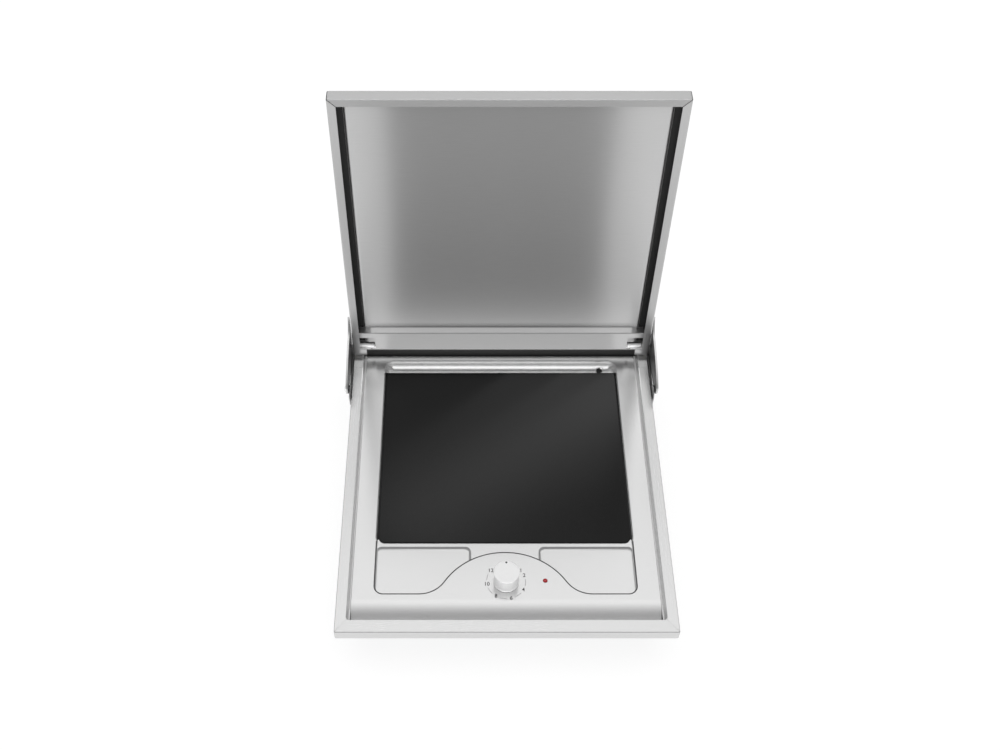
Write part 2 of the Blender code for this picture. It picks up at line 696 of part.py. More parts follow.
def lid_rims(pivot):
    """Folded edge channels: a wall and a return flange, mitred at the two top corners."""
    t, w, d = THIN_SHEET, RIM_WIDTH, LID_DEPTH
    edge = 0.8
    section = ((w, 0.0), (edge, 0.0), (0.0, edge), (0.0, d - edge), (edge, d), (t, d), (t, t), (w, t))
    rims = {}
    for name, side in (("lid_rim_front", 0), ("lid_rim_left", -1), ("lid_rim_right", 1)):
        bm = bmesh.new()
        loft(bm, [lid_ring(*row) for row in section], closed=True)
        for corner in (-1, 1):
            normal = Vector((-corner, 0.0, 1.0)).normalized()
            point = Vector((corner * LID_X, 0.0, LID_TOP))
            if side == 0:
                keep_side(bm, point + normal * GAP, -normal)
            elif side == corner:
                keep_side(bm, point - normal * GAP, normal)
        if side:
            keep_side(bm, (0, 0, LID_BOTTOM), (0, 0, -1))
            keep_side(bm, (0, 0, 0), (-side, 0, 0))
        rims[name] = store(name, bm, "steel", pivot)
    return rims


def lid_panel(pivot):
    edge = LID_X - THIN_SHEET - GAP
    top = LID_TOP - THIN_SHEET - GAP
    bm = bmesh.new()
    block(bm, -edge, edge, LID_DEPTH - THIN_SHEET, LID_DEPTH, LID_BOTTOM, top)
    store("lid_panel", bm, "steel", pivot)


def lid_liner(pivot):
    """Inner sheet whose side edges fold back, short of the edge channels."""
    r, end = LINER_FOLD_RADIUS, 270.0 + LINER_FOLD_SWEEP
    centre = (LINER_X - r * math.sin(math.radians(LINER_FOLD_SWEEP)), LINER_FACE + r)
    right = arc(centre, r, 270, end, 4) + arc(centre, r - LINER_SHEET, end, 270, 4)
    left = [(-x, y) for x, y in reversed(right)]
    bm = bmesh.new()
    prism(bm, right + left, LINER_BOTTOM, LINER_TOP)
    store("lid_liner", bm, "steel", pivot)


def lid_damping_sheet(pivot):
    """Black damping sheet on the inner face of the outer panel."""
    edge = LID_X - THIN_SHEET - GAP
    back = LID_DEPTH - THIN_SHEET - GAP
    bm = bmesh.new()
    block(bm, -edge, edge, back - DAMPING_SHEET, back, LINER_BOTTOM, LINER_TOP)
    store("lid_damping_sheet", bm, "black_rubber", pivot)


def lid_feet_and_bushes(rims, pivot):
    inset = 0.05
    for name, side in (("left", -1), ("right", 1)):
        rim = rims[f"lid_rim_{name}"]
        bm = bmesh.new()
        inner, outer = sorted((side * FOOT_INNER_X, side * (LID_X - RIM_WIDTH + 1.0)))
        block(bm, inner, outer, inset, THIN_SHEET - inset, LID_BOTTOM + inset, RAIL_BOTTOM)
        combine(rim, helper(f"foot_{name}", bm), "UNION")
        bm = bmesh.new()
        hole = PIN_RADIUS + 1.3
        span = sorted((side * (LID_X - 4.0), side * (LID_X + 4.0)))
        turned(bm, [(hole, x) for x in span], PIVOT, at_x, 20)
        cut(rim, helper(f"bush_hole_{name}", bm))
        bm = bmesh.new()
        bore, sleeve, flange = PIN_RADIUS + 0.2, PIN_RADIUS + 1.0, PIN_RADIUS + 1.8
        profile = ((bore, 236.9), (flange, 236.9), (flange, 238.5), (sleeve, 238.5),
                   (sleeve, 240.2), (bore, 240.2))
        turned(bm, [(r, side * x) for r, x in profile], PIVOT, at_x, 20, closed=True)
        store(f"lid_bush_{name}", bm, "ivory_plastic", pivot)


def lid_rear_rail(pivot):
    """Rear rail with a folded lower wall and top lip, cut away round the hinge barrels."""
    t, low, high = THIN_SHEET, RAIL_BOTTOM, RAIL_TOP
    back = LID_DEPTH - THIN_SHEET - GAP
    outline = [(0.0, low), (back, low), (back, low + t), (t, low + t), (t, high - t),
               (RAIL_LIP, high - t), (RAIL_LIP, high), (0.0, high)]
    edge = LID_X - RIM_WIDTH - GAP
    bm = bmesh.new()
    prism(bm, outline, -edge, edge, at_x)
    rail = store("lid_rear_rail", bm, "steel", pivot)
    bm = bmesh.new()
    for side in (-1, 1):
        inner, outer = sorted((side * CUTOUT_INNER_X, side * (edge + 2.0)))
        block(bm, inner, outer, -2.0, LID_DEPTH, low - 2.0, CUTOUT_TOP)
    cut(rail, helper("barrel_cutouts", bm))


# Hinges

def cheek_outline():
    """Side view of the outer cheek: round front end, hollow top line flaring up at the rear."""
    nose, nose_radius = (-73.0, 20.0), 14.0
    front = arc(nose, nose_radius, 262, 112, 8)
    shoulder, tip = (-8.0, 51.8), (22.3, 76.0)
    top = bezier(front[-1], (-62.0, 41.5), (-34.0, 50.0), shoulder, 7)
    flare = bezier(shoulder, (8.0, 53.0), (17.0, 60.0), tip, 6)
    heel = arc((18.3, -1.0), 4.0, 360, 270, 4)
    return front + top + flare + heel


def bracket_outline():
    """Low bar along the frame with an ear at its front end for the spacer."""
    ear = arc((SPACER[0], SPACER[1] - 2.0), 7.5, 180, 20, 8)
    return [(-84.0, -16.8), (-84.0, 2.0)] + ear + [(-62.0, 4.0), (19.0, 4.0), (20.0, 3.0),
                                                   (20.0, -16.8)]


def hinge_screw_hole(side):
    bm = bmesh.new()
    turned(bm, [(2.2, side * x) for x in (235.0, 244.0)], HINGE_SCREW, at_x, 12)
    return helper("screw_hole_right" if side > 0 else "screw_hole_left", bm)


def pin_holes(side):
    bm = bmesh.new()
    for place in (PIVOT, SPACER):
        turned(bm, [(PIN_RADIUS + GAP, side * x) for x in (240.0, 250.0)], place, at_x, 20)
    return helper("pin_holes_right" if side > 0 else "pin_holes_left", bm)


def hinge_barrel(name, side):
    """Barrel with a collar at its inner end, on a block fixed to the frame's rear wall."""
    shoulder, collar, r = 0.3, BARREL_COLLAR, BARREL_RADIUS
    start, end, collar_end = BARREL_INNER_X, BARREL_OUTER_X, BARREL_INNER_X + 3.8
    bore = PIN_RADIUS + GAP
    profile = ((collar - shoulder, start), (collar, start + shoulder),
               (collar, collar_end - shoulder), (collar - shoulder, collar_end),
               (r, collar_end), (r, end - shoulder), (r - shoulder, end), (bore, end),
               (bore, start + 4.5))
    bm = bmesh.new()
    turned(bm, [(radius, side * x) for radius, x in profile], PIVOT, at_x, 24)
    barrel = store(f"hinge_barrel_{name}", bm, "bright")
    bm = bmesh.new()
    inner, outer = sorted((side * BARREL_POST[0], side * BARREL_POST[1]))
    block(bm, inner, outer, *POST_Y, POST_FOOT, POST_HEAD)
    combine(barrel, helper(f"hinge_block_{name}", bm), "UNION")


def hinge_side(name, side, frame_member):
    screw_hole, holes = hinge_screw_hole(side), pin_holes(side)
    cut(frame_member, screw_hole)
    bm = bmesh.new()
    prism(bm, bracket_outline(), side * BRACKET_INNER_X, side * BRACKET_OUTER_X, at_x)
    cut(store(f"hinge_bracket_{name}", bm, "steel"), screw_hole, holes)
    bm = bmesh.new()
    prism(bm, cheek_outline(), side * CHEEK_INNER_X, side * CHEEK_OUTER_X, at_x)
    cut(store(f"hinge_cheek_{name}", bm, "steel"), holes)
    hinge_barrel(name, side)
    head = BRACKET_OUTER_X + GAP
    pins = {"cheek_spacer": (SPACER, ((2.6, 240.9), (PIN_RADIUS, 241.3), (PIN_RADIUS, 246.8),
                                      (4.6, 246.8), (4.6, 248.9), (4.0, 249.5))),
            "hinge_pin": (PIVOT, ((2.5, 211.0), (PIN_RADIUS, 211.5), (PIN_RADIUS, 245.8),
                                  (2.6, 246.2))),
            "hinge_screw": (HINGE_SCREW, ((2.4, head + 2.0), (3.4, head + 1.4), (3.4, head),
                                          (1.9, head), (1.9, 236.6)))}
    for piece, (place, profile) in pins.items():
        bm = bmesh.new()
        turned(bm, [(r, side * x) for r, x in profile], place, at_x, 20)
        store(f"{piece}_{name}", bm, "bright")


# Worktop clamps

def worktop_clamps():
    wall = OPENING_X + SHEET + GAP
    outline = [(wall, -24.0), (wall + 2.0, -24.0), (wall + 2.0, -46.0), (239.0, -46.0),
               (239.0, -48.0), (wall, -48.0)]
    profile = ((3.4, -65.0), (4.4, -64.4), (4.4, -61.5), (2.4, -61.5), (2.4, -41.0), (3.6, -41.0),
               (3.6, -39.8))
    for corner, (side, y) in CORNERS.items():
        place = (side * CLAMP_SCREW_X, y)
        bm = bmesh.new()
        prism(bm, [(side * x, z) for x, z in outline], y - 9.0, y + 9.0, at_y)
        clamp = store(f"worktop_clamp_{corner}", bm, "galvanised")
        bm = bmesh.new()
        turned(bm, ((2.8, -52.0), (2.8, -42.0)), place, at_z, 14)
        cut(clamp, helper(f"clamp_hole_{corner}", bm))
        bm = bmesh.new()
        turned(bm, profile, place, at_z, 14)
        store(f"clamp_screw_{corner}", bm, "bright")


def build():
    clear_scene()
    frame_members = ring_members("frame", frame_section())
    collar_members = ring_members("collar", collar_section())
    screw_holes = casing_screw_holes()
    for corner, hole in screw_holes.items():
        cut(collar_members[corner.split("_")[1]], hole)
    hob_deck()
    drip_trough()
    hot_plate()
    plate_seal()
    plate_rails()
    heating_element()
    element_tray()
    insulation_pad()
    bottom_casing(screw_holes)
    casing_screws()
    cable_gland()
    terminal_block()
    drain_spout()
    energy_regulator()
    pilot_lamp()
    knob(pivot_empty("knob_axis", (DIAL[0], DIAL[1], DECK_TOP)))
    lid_axis = pivot_empty("lid_axis", (0.0, PIVOT[0], PIVOT[1]))
    lid_panel(lid_axis)
    lid_liner(lid_axis)
    lid_damping_sheet(lid_axis)
    lid_feet_and_bushes(lid_rims(lid_axis), lid_axis)
    lid_rear_rail(lid_axis)
    for name, side in (("left", -1), ("right", 1)):
        hinge_side(name, side, frame_members[name])
    worktop_clamps()


build()
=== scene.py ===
import json
import math

import bmesh
import bpy
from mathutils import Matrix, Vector
from mathutils.geometry import tessellate_polygon

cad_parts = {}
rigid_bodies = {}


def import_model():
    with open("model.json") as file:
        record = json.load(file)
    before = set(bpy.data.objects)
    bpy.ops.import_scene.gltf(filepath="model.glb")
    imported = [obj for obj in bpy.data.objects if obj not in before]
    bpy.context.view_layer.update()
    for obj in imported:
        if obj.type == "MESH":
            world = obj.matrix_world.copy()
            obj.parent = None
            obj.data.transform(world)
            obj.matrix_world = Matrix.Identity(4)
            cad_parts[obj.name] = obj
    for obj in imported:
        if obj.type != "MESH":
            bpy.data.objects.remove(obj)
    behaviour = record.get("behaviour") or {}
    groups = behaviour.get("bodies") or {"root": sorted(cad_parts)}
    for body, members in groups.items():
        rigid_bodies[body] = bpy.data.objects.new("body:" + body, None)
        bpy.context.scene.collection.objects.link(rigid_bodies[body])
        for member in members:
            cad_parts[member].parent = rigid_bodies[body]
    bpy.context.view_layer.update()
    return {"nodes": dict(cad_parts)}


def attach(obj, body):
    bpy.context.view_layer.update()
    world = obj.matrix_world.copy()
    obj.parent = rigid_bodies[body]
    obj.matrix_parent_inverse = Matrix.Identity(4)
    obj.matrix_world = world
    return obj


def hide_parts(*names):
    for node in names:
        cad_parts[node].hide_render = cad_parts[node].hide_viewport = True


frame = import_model()

# Lengths are millimetres in the CAD's design datum; store() moves them to the row frame.
MM = 0.001
DATUM = Vector((0.0, 235.9, 70.0))
SHEET, THIN_SHEET, GAP = 1.5, 1.2, 0.3
CORNER_STEPS = 10

FRAME_X, FRAME_FRONT, FRAME_REAR, FRAME_DROP = 240.0, -494.4, 22.6, 17.5
OPENING_X, OPENING_FRONT, OPENING_REAR, OPENING_DRAFT = 223.8, -474.5, 18.4, 2.4
FRAME_CORNER, OPENING_CORNER = 2.5, 4.3
FRAME_LIPS = (6.5, 8.0, 2.4)
SEAM_Y = -20.0

DECK_X, DECK_REAR, DECK_TOP, DECK_BOTTOM, DECK_EDGE = 220.5, 14.4, -12.0, -47.7, 1.3
ROLL_START, ROLL_END, ROLL_RADIUS = -436.0, -471.0, 48.0
WELL_X, WELL_FRONT, WELL_BACK, WELL_INNER_X = 187.0, -426.6, -349.0, 50.0
WELL_FLOOR, BAR_LEVEL = -19.0, -14.5
WELL_CORNER, WELL_BACK_CORNER, WELL_INNER_CORNER = 12.0, 7.0, 8.0
HUMP_RADIUS, HUMP_CENTRE_Y = 105.0, -463.6
HUMP_FOOT_RADIUS, HUMP_FOOT = 42.0, (124.0, -384.6)
WELL_LIP, WELL_SLOPE, WELL_END_REACH, WELL_END_MARGIN = 0.8, 1.3, 3.2, 3.0
WELL_WALL = ((0.12, 0.30), (0.30, 0.72), (0.42, 0.86), (0.62, 0.955), (1.0, 1.0))
WELL_TOP_DROP, BAR_FILLET, BAR_OVERLAP = 0.9, 0.5, 0.5
TROUGH_RADIUS, TROUGH_Y = 12.0, -8.0
TROUGH_CORNER, TROUGH_RAMP_X, TROUGH_RAMP_RISE = 16.0, 177.0, 0.80
TROUGH_DROP, TROUGH_BOWL = 0.9, 0.9
DRAIN, DRAIN_RADIUS = (162.0, -7.5), 5.35
DRAIN_RING = ((8.2, 0.02), (7.4, 0.14), (6.6, 0.22), (6.0, 0.12), (5.5, -0.5),
              (DRAIN_RADIUS, -1.4), (DRAIN_RADIUS, -6.0))
DRAIN_THROAT = (0.9, 4.4)

TOP_EDGE = 1.6
# Shifts of the dark strip of painted reflection beside the opening's edge.
EDGE_LINE = (0.4, 2.1)

PLATE_X, PLATE_FRONT, PLATE_REAR = 185.6, -342.8, -22.1
PLATE_TOP, PLATE_THICKNESS, PLATE_CORNER, PLATE_GAP = -12.5, 6.0, 10.0, 3.4
PLATE_EDGE, PLATE_REAR_CORNER, SEAL_DROP = 0.9, 3.0, 2.2
TROUGH_FRONT = PLATE_REAR + 0.9

DIAL, KNOB_RADIUS, KNOB_TOP, SHAFT_RADIUS = (0.8, -407.5), 18.4, 14.6, 3.0
PILOT, PILOT_RADIUS = (57.0, -406.4), 3.2
DIAL_NUMBERS = (("1", 51.0), ("2", 70.0), ("4", 119.0), ("6", 166.0), ("8", 212.0),
                ("10", 261.0), ("12", 309.0))
DIAL_RADIUS, DIAL_TEXT, DIAL_ARC_GAP = 28.0, 8.4, 13
PRINT_LIFT, KNOB_HOLE = 0.03, SHAFT_RADIUS + 1.5
KNOB_LINES, KNOB_DISH, KNOB_LINE_HEIGHT = 30, 0.16, 0.012

LID_X, LID_TOP, LID_BOTTOM, LID_DEPTH = 240.0, 525.0, 8.0, 19.2
RIM_WIDTH, LID_CORNER, MITRE_GAP = 12.0, 2.0, 0.5
RAIL_BOTTOM, RAIL_TOP, RAIL_LIP = 21.8, 61.0, 14.3
LINER_X, LINER_FACE, LINER_SHEET = 221.0, 14.0, 0.8
LINER_FOLD_RADIUS, LINER_FOLD_SWEEP = 11.0, 34.0
LINER_BOTTOM, LINER_TOP = 24.0, 523.2
DAMPING_SHEET = 0.7
FOOT_INNER_X, CUTOUT_INNER_X, CUTOUT_TOP = 218.0, 203.0, 50.0
PIVOT = (12.8, 16.0)
PIN_RADIUS, BARREL_RADIUS, BARREL_COLLAR = 3.0, 4.5, 4.9
BARREL_INNER_X, BARREL_OUTER_X = 206.0, 229.5
BARREL_POST = (206.8, 212.4)
POST_Y, POST_FOOT, POST_HEAD = (14.7, 17.4), 5.0, 13.2
BRACKET_INNER_X, BRACKET_OUTER_X = 240.6, 242.8
CHEEK_INNER_X, CHEEK_OUTER_X = 243.3, 246.5
# CHEEK_SHADE_PAD places a thin dark sheet of painted shade on each cheek's inner face.
CHEEK_RIM, CHEEK_SHADE_PAD, CHEEK_SHADE_PAD_REAR = 1.6, (242.95, 243.28), 20.6
SPACER, HINGE_SCREW = (-74.0, 11.6), (-73.5, -11.0)

SKY_BASE, SKY_LIGHT, SKY_SPREAD, SKY_LIGHT_TILT = 0.43, 0.92, 9.5, 70.0
FLOOR_GREY, FLOOR_GLOW = 0.3, 0.84

ALONG_X, ALONG_Y, ALONG_Z = Vector((1, 0, 0)), Vector((0, 1, 0)), Vector((0, 0, 1))


# Node materials

class Nodes:
    """Short way to add and join shader nodes in one material."""

    def __init__(self, name):
        self.mat = bpy.data.materials.new(name)
        self.mat.use_nodes = True
        self.tree = self.mat.node_tree
        self.shader = self.tree.nodes["Principled BSDF"]

    def add(self, kind, **inputs):
        node = self.tree.nodes.new(kind)
        for key, value in inputs.items():
            node.inputs[key.replace("_", " ")].default_value = value
        return node

    def join(self, source, target):
        self.tree.links.new(source, target)

    def noise(self, vector, scale, detail=2.0, stretch=None):
        if stretch:
            mapping = self.add("ShaderNodeMapping")
            mapping.inputs["Scale"].default_value = stretch
            self.join(vector, mapping.inputs["Vector"])
            vector = mapping.outputs["Vector"]
        node = self.add("ShaderNodeTexNoise", Scale=scale, Detail=detail)
        self.join(vector, node.inputs["Vector"])
        return node.outputs["Fac"]

    def span(self, value, low, high, from_low=0.3, from_high=0.7):
        node = self.add("ShaderNodeMapRange")
        for key, number in (("From Min", from_low), ("From Max", from_high),
                            ("To Min", low), ("To Max", high)):
            node.inputs[key].default_value = number
        self.join(value, node.inputs["Value"])
        return node.outputs["Result"]

    def colour(self, value, low, high):
        ramp = self.add("ShaderNodeValToRGB")
        ramp.color_ramp.elements[0].position = 0.3
        ramp.color_ramp.elements[1].position = 0.7
        ramp.color_ramp.elements[0].color = (*low, 1.0)
        ramp.color_ramp.elements[1].color = (*high, 1.0)
        self.join(value, ramp.inputs["Fac"])
        self.join(ramp.outputs["Color"], self.shader.inputs["Base Color"])

    def bump(self, height, strength, distance):
        node = self.add("ShaderNodeBump", Strength=strength, Distance=distance)
        self.join(height, node.inputs["Height"])
        self.join(node.outputs["Normal"], self.shader.inputs["Normal"])


def brushed(name, low, high, rough, anisotropy, lines=2600.0, depth=0.02, metallic=1.0):
    """Satin metal; its fine lines run along V of the mesh's UV map and blur along U."""
    n = Nodes(name)
    uv = n.add("ShaderNodeUVMap")
    uv.uv_map = "grain"
    fine = n.noise(uv.outputs["UV"], 1.0, 2.0, (lines, lines * 0.012, 1.0))
    broad = n.noise(uv.outputs["UV"], 6.0, 1.0)
    tangent = n.add("ShaderNodeTangent")
    tangent.direction_type = "UV_MAP"
    tangent.uv_map = "grain"
    n.shader.inputs["Metallic"].default_value = metallic
    n.shader.inputs["Anisotropic"].default_value = anisotropy
    n.join(tangent.outputs["Tangent"], n.shader.inputs["Tangent"])
    n.colour(fine, low, high)
    mix = n.add("ShaderNodeMath")
    mix.operation = "ADD"
    n.join(n.span(fine, rough * 0.94, rough * 1.06), mix.inputs[0])
    n.join(n.span(broad, -0.005, 0.005), mix.inputs[1])
    n.join(mix.outputs["Value"], n.shader.inputs["Roughness"])
    n.bump(fine, depth, 0.00008)
    return n.mat


def speckled(name, low, high, rough, metallic, scale, strength=0.15, distance=0.00006, **fixed):
    """A cast, coated or moulded finish with a fine grain in colour, roughness and relief."""
    n = Nodes(name)
    place = n.add("ShaderNodeTexCoord").outputs["Object"]
    grain = n.noise(place, scale, 3.0)
    n.shader.inputs["Metallic"].default_value = metallic
    for key, value in fixed.items():
        n.shader.inputs[key.replace("_", " ")].default_value = value
    n.colour(grain, low, high)
    n.join(n.span(grain, rough * 0.85, rough * 1.15), n.shader.inputs["Roughness"])
    n.bump(n.noise(place, scale * 2.5, 2.0), strength, distance)
    return n.mat


def grey(value):
    return (value, value, value)


MATS = {
    "frame": brushed("frame_brushed_steel", grey(0.69), grey(0.71), 0.26, 0.50, depth=0.01,
                     metallic=0.8),
    "deck": brushed("deck_satin_steel", grey(0.68), grey(0.72), 0.25, 0.55, metallic=0.9),
    "lid": brushed("lid_satin_steel", grey(0.50), grey(0.54), 0.30, 0.5, metallic=0.9),
    "liner": brushed("liner_satin_steel", grey(0.52), grey(0.56), 0.42, 1.0),
    "rim": brushed("lid_edge_satin_steel", grey(0.46), grey(0.50), 0.42, 1.0),
    "trough": brushed("trough_satin_steel", grey(0.78), grey(0.82), 0.27, 0.3, metallic=0.95),
    "hinge": brushed("hinge_brushed_steel", grey(0.62), grey(0.68), 0.26, 0.45),
    # Hinge steel darkened to paint the shade on the inner brackets.
    "painted_shade_hinge": brushed("shaded_hinge_steel", grey(0.20), grey(0.24), 0.30, 0.45),
    "barrel": brushed("polished_barrel", grey(0.90), grey(0.94), 0.30, 0.30, 3200.0, 0.02, 0.2),
    "bright": brushed("turned_bright_steel", grey(0.84), grey(0.90), 0.36, 0.35, 3200.0, 0.02,
                      0.7),
    "knob": brushed("spun_aluminium", grey(0.90), grey(0.94), 0.36, 0.60, 2400.0, 0.04, 0.25),
    # Dark grey that paints the reflection in the deck's pressed edge and the shade under the lid's
    # rail.
    "painted_dark_strip": speckled("painted_reflection_and_shade", grey(0.07), grey(0.10), 0.5, 0.0, 900.0),
    # Near-black steel that paints the shade on the cheeks' inner faces and on the barrel posts.
    "painted_shade_steel": speckled("dark_hinge_post", grey(0.10), grey(0.14), 0.45, 1.0, 400.0, 0.05),
    "plate": speckled("black_glass_ceramic", grey(0.0036), grey(0.0052), 0.24, 0.0, 900.0,
                      0.05, 0.00003, Specular_IOR_Level=0.16),
    "seal": speckled("black_silicone", grey(0.004), grey(0.007), 0.55, 0.0, 700.0),
    "damping": speckled("black_damping_sheet", grey(0.030), grey(0.042), 0.75, 0.0, 500.0),
    "galvanised": speckled("zinc_coated_sheet", (0.36, 0.37, 0.38), (0.50, 0.51, 0.52), 0.42,
                           1.0, 160.0, 0.08),
    "element": speckled("heat_darkened_sheath", (0.12, 0.11, 0.10), (0.20, 0.18, 0.16), 0.50,
                        1.0, 300.0),
    "fibre": speckled("off_white_fibre", (0.66, 0.64, 0.58), (0.78, 0.76, 0.70), 0.95, 0.0,
                      240.0, 0.6, 0.0006),
    "black": speckled("black_moulding", grey(0.016), grey(0.024), 0.42, 0.0, 900.0),
    "ivory": speckled("ivory_moulding", (0.67, 0.65, 0.57), (0.73, 0.71, 0.63), 0.45, 0.0,
                      700.0),
    "red": speckled("red_lens", (0.50, 0.004, 0.008), (0.66, 0.010, 0.016), 0.14, 0.0, 300.0,
                    0.04, 0.00003, Coat_Weight=0.6, Coat_Roughness=0.05),
    "print": speckled("dark_grey_print", grey(0.045), grey(0.06), 0.55, 0.0, 900.0),
    "light_print": speckled("light_grey_print", grey(0.26), grey(0.32), 0.55, 0.0, 900.0),
    "sealant": speckled("grey_sealant", grey(0.66), grey(0.72), 0.5, 0.0, 500.0),
    # Near-black that paints the shade in the drain's throat and under the lid's mitre seams.
    "shade": speckled("painted_shade_black", grey(0.016), grey(0.024), 0.6, 0.0, 500.0),
}


# Mesh building

def arc(centre, radius, start, end, steps):
    angles = [math.radians(start + (end - start) * i / steps) for i in range(steps + 1)]
    return [(centre[0] + radius * math.cos(a), centre[1] + radius * math.sin(a)) for a in angles]


def bezier(p0, p1, p2, p3, steps):
    points = []
    for i in range(1, steps + 1):
        t = i / steps
        weights = ((1 - t) ** 3, 3 * t * (1 - t) ** 2, 3 * t * t * (1 - t), t ** 3)
        points.append(tuple(sum(w * p[k] for w, p in zip(weights, (p0, p1, p2, p3)))
                            for k in range(2)))
    return points


def rounded_rect(a0, b0, a1, b1, radii, steps=CORNER_STEPS):
    corners = ((a0, b0, 1, 1, 180), (a1, b0, -1, 1, 270), (a1, b1, -1, -1, 0), (a0, b1, 1, -1, 90))
    points = []
    for (a, b, sign_a, sign_b, start), radius in zip(corners, radii):
        centre = (a + sign_a * radius, b + sign_b * radius)
        points += arc(centre, radius, start, start + 90, steps)
    return points


def loft(bm, rings, closed=False, capped=True):
    loops = [[bm.verts.new(point) for point in ring] for ring in rings]
    pairs = list(zip(loops, loops[1:]))
    if closed:
        pairs.append((loops[-1], loops[0]))
    elif capped:
        bm.faces.new(loops[0])
        bm.faces.new(loops[-1])
    for low, high in pairs:
        for i in range(len(low)):
            j = (i + 1) % len(low)
            bm.faces.new((low[i], low[j], high[j], high[i]))


def sheet(bm, rows):
    """Joins open rows of equal length into a surface."""
    grid = [[bm.verts.new(point) for point in row] for row in rows]
    for low, high in zip(grid, grid[1:]):
        for i in range(len(low) - 1):
            bm.faces.new((low[i], low[i + 1], high[i + 1], high[i]))


def fill(bm, place, outline, holes=()):
    """A flat face with holes."""
    loops = [[Vector((a, b, 0.0)) for a, b in loop] for loop in (outline, *holes)]
    corners = [(v.x, v.y) for loop in loops for v in loop]
    verts = [bm.verts.new(place([point])[0]) for point in corners]
    for triangle in tessellate_polygon(loops):
        if len(set(triangle)) == 3:
            bm.faces.new([verts[i] for i in triangle])


def at_z(z):
    return lambda outline: [(x, y, z) for x, y in outline]


def at_y(y):
    return lambda outline: [(x, y, z) for x, z in outline]


def at_x(x):
    return lambda outline: [(x, y, z) for y, z in outline]


def normals(path, closed):
    """Unit normals on the right-hand side of a path, with the stretch its corners need."""
    result = []
    count = len(path)
    for i, point in enumerate(path):
        before = path[i - 1] if closed or i else point
        after = path[(i + 1) % count] if closed or i < count - 1 else point
        sides = []
        for a, b in ((before, point), (point, after)):
            run = Vector((b[0] - a[0], b[1] - a[1]))
            if run.length > 1e-6:
                run.normalize()
                sides.append(Vector((run.y, -run.x)))
        mean = sum(sides, Vector((0.0, 0.0))).normalized()
        result.append(mean / max(mean.dot(sides[0]), 0.5))
    return result


def shifted(path, distance, closed=True, reach=None):
    """The path moved to its right by distance, times each point's own reach."""
    reach = reach or [1.0] * len(path)
    return [(p[0] + n.x * distance * r, p[1] + n.y * distance * r)
            for p, n, r in zip(path, normals(path, closed), reach)]


def quarter(steps):
    """Angles from zero to a right angle."""
    return [math.pi / 2 * i / steps for i in range(steps + 1)]


def round_over(radius, level, steps=5):
    """Profile (outward shift, height) of a convex edge, from the flat to the wall."""
    return [(radius - radius * math.sin(a), level - radius + radius * math.cos(a))
            for a in quarter(steps)]


def round_under(radius, level, steps=5):
    """Profile of a concave edge, from the wall to the flat."""
    return [(-radius + radius * math.cos(a), level + radius - radius * math.sin(a))
            for a in quarter(steps)]


def plate_body(bm, outline, low, high, place, bevel=0.35, holes=()):
    """A flat plate with rounded edges; holes are outlines run the other way round."""
    for loop in (outline, *holes):
        rings = [(low + math.copysign(bevel * (1 - math.sin(a)), high - low),
                  bevel * (1 - math.cos(a))) for a in reversed(quarter(3))]
        far = [(low + high - level, shift) for level, shift in reversed(rings)]
        rows = [place(level)(shifted(loop, -shift)) for level, shift in rings + far]
        loft(bm, rows, capped=False)
    for level in (low, high):
        fill(bm, place(level), shifted(outline, -bevel),
             [shifted(hole, -bevel) for hole in holes])


def block(bm, x0, x1, y0, y1, z0, z1, bevel=0.3):
    outline = rounded_rect(x0, y0, x1, y1, [bevel * 1.5] * 4, 3)
    plate_body(bm, outline, z0, z1, at_z, bevel)


def prism(bm, outline, low, high, place):
    loft(bm, [place(low)(outline), place(high)(outline)])


def smooth_profile(profile, radius, steps=3):
    """Rounds the inner corners of a turned profile."""
    result = [profile[0]]
    for before, point, after in zip(profile, profile[1:], profile[2:]):
        a, p, b = Vector(before), Vector(point), Vector(after)
        reach = min(radius, (a - p).length * 0.45, (b - p).length * 0.45)
        start, end = p + (a - p).normalized() * reach, p + (b - p).normalized() * reach
        for i in range(steps + 1):
            t = i / steps
            result.append(tuple(start * (1 - t) ** 2 + p * 2 * t * (1 - t) + end * t * t))
    return result + [profile[-1]]


def turned(bm, profile, centre, place, sides=96, closed=False, soften=0.25):
    if soften and not closed:
        profile = smooth_profile(profile, soften)
    rings = []
    for radius, position in profile:
        circle = arc(centre, radius, 0, 360, sides)[:-1]
        rings.append(place(position)(circle))
    loft(bm, rings, closed)


def keep_side(bm, point, normal):
    geometry = bm.verts[:] + bm.edges[:] + bm.faces[:]
    bmesh.ops.bisect_plane(bm, geom=geometry, plane_co=point, plane_no=normal, clear_outer=True)
    rims = [edge for edge in bm.edges if edge.is_boundary]
    bmesh.ops.holes_fill(bm, edges=rims, sides=0)


def grain_along(mesh, axis):
    """UV map whose V runs along the brush lines and whose U crosses them on every face."""
    layer = mesh.uv_layers.new(name="grain")
    spare = ALONG_Y if abs(axis.x) > 0.5 else ALONG_X
    for face in mesh.polygons:
        line = axis if abs(face.normal.dot(axis)) < 0.9 else spare
        across = line.cross(face.normal).normalized()
        for loop in face.loop_indices:
            co = mesh.vertices[mesh.loops[loop].vertex_index].co
            layer.data[loop].uv = (co.dot(across), co.dot(line))


def grain_round(mesh, centre, axis):
    """UV map for a turned piece: the lines run round the axis."""
    layer = mesh.uv_layers.new(name="grain")
    side = ALONG_X if abs(axis.x) < 0.5 else ALONG_Y
    other = axis.cross(side)
    for face in mesh.polygons:
        middle = face.center - centre
        turn = math.atan2(middle.dot(other), middle.dot(side))
        for loop in face.loop_indices:
            co = mesh.vertices[mesh.loops[loop].vertex_index].co - centre
            flat = co - axis * co.dot(axis)
            angle = math.atan2(co.dot(other), co.dot(side))
            angle += 2 * math.pi * round((turn - angle) / (2 * math.pi))
            layer.data[loop].uv = (flat.length - co.dot(axis), angle * 0.01)


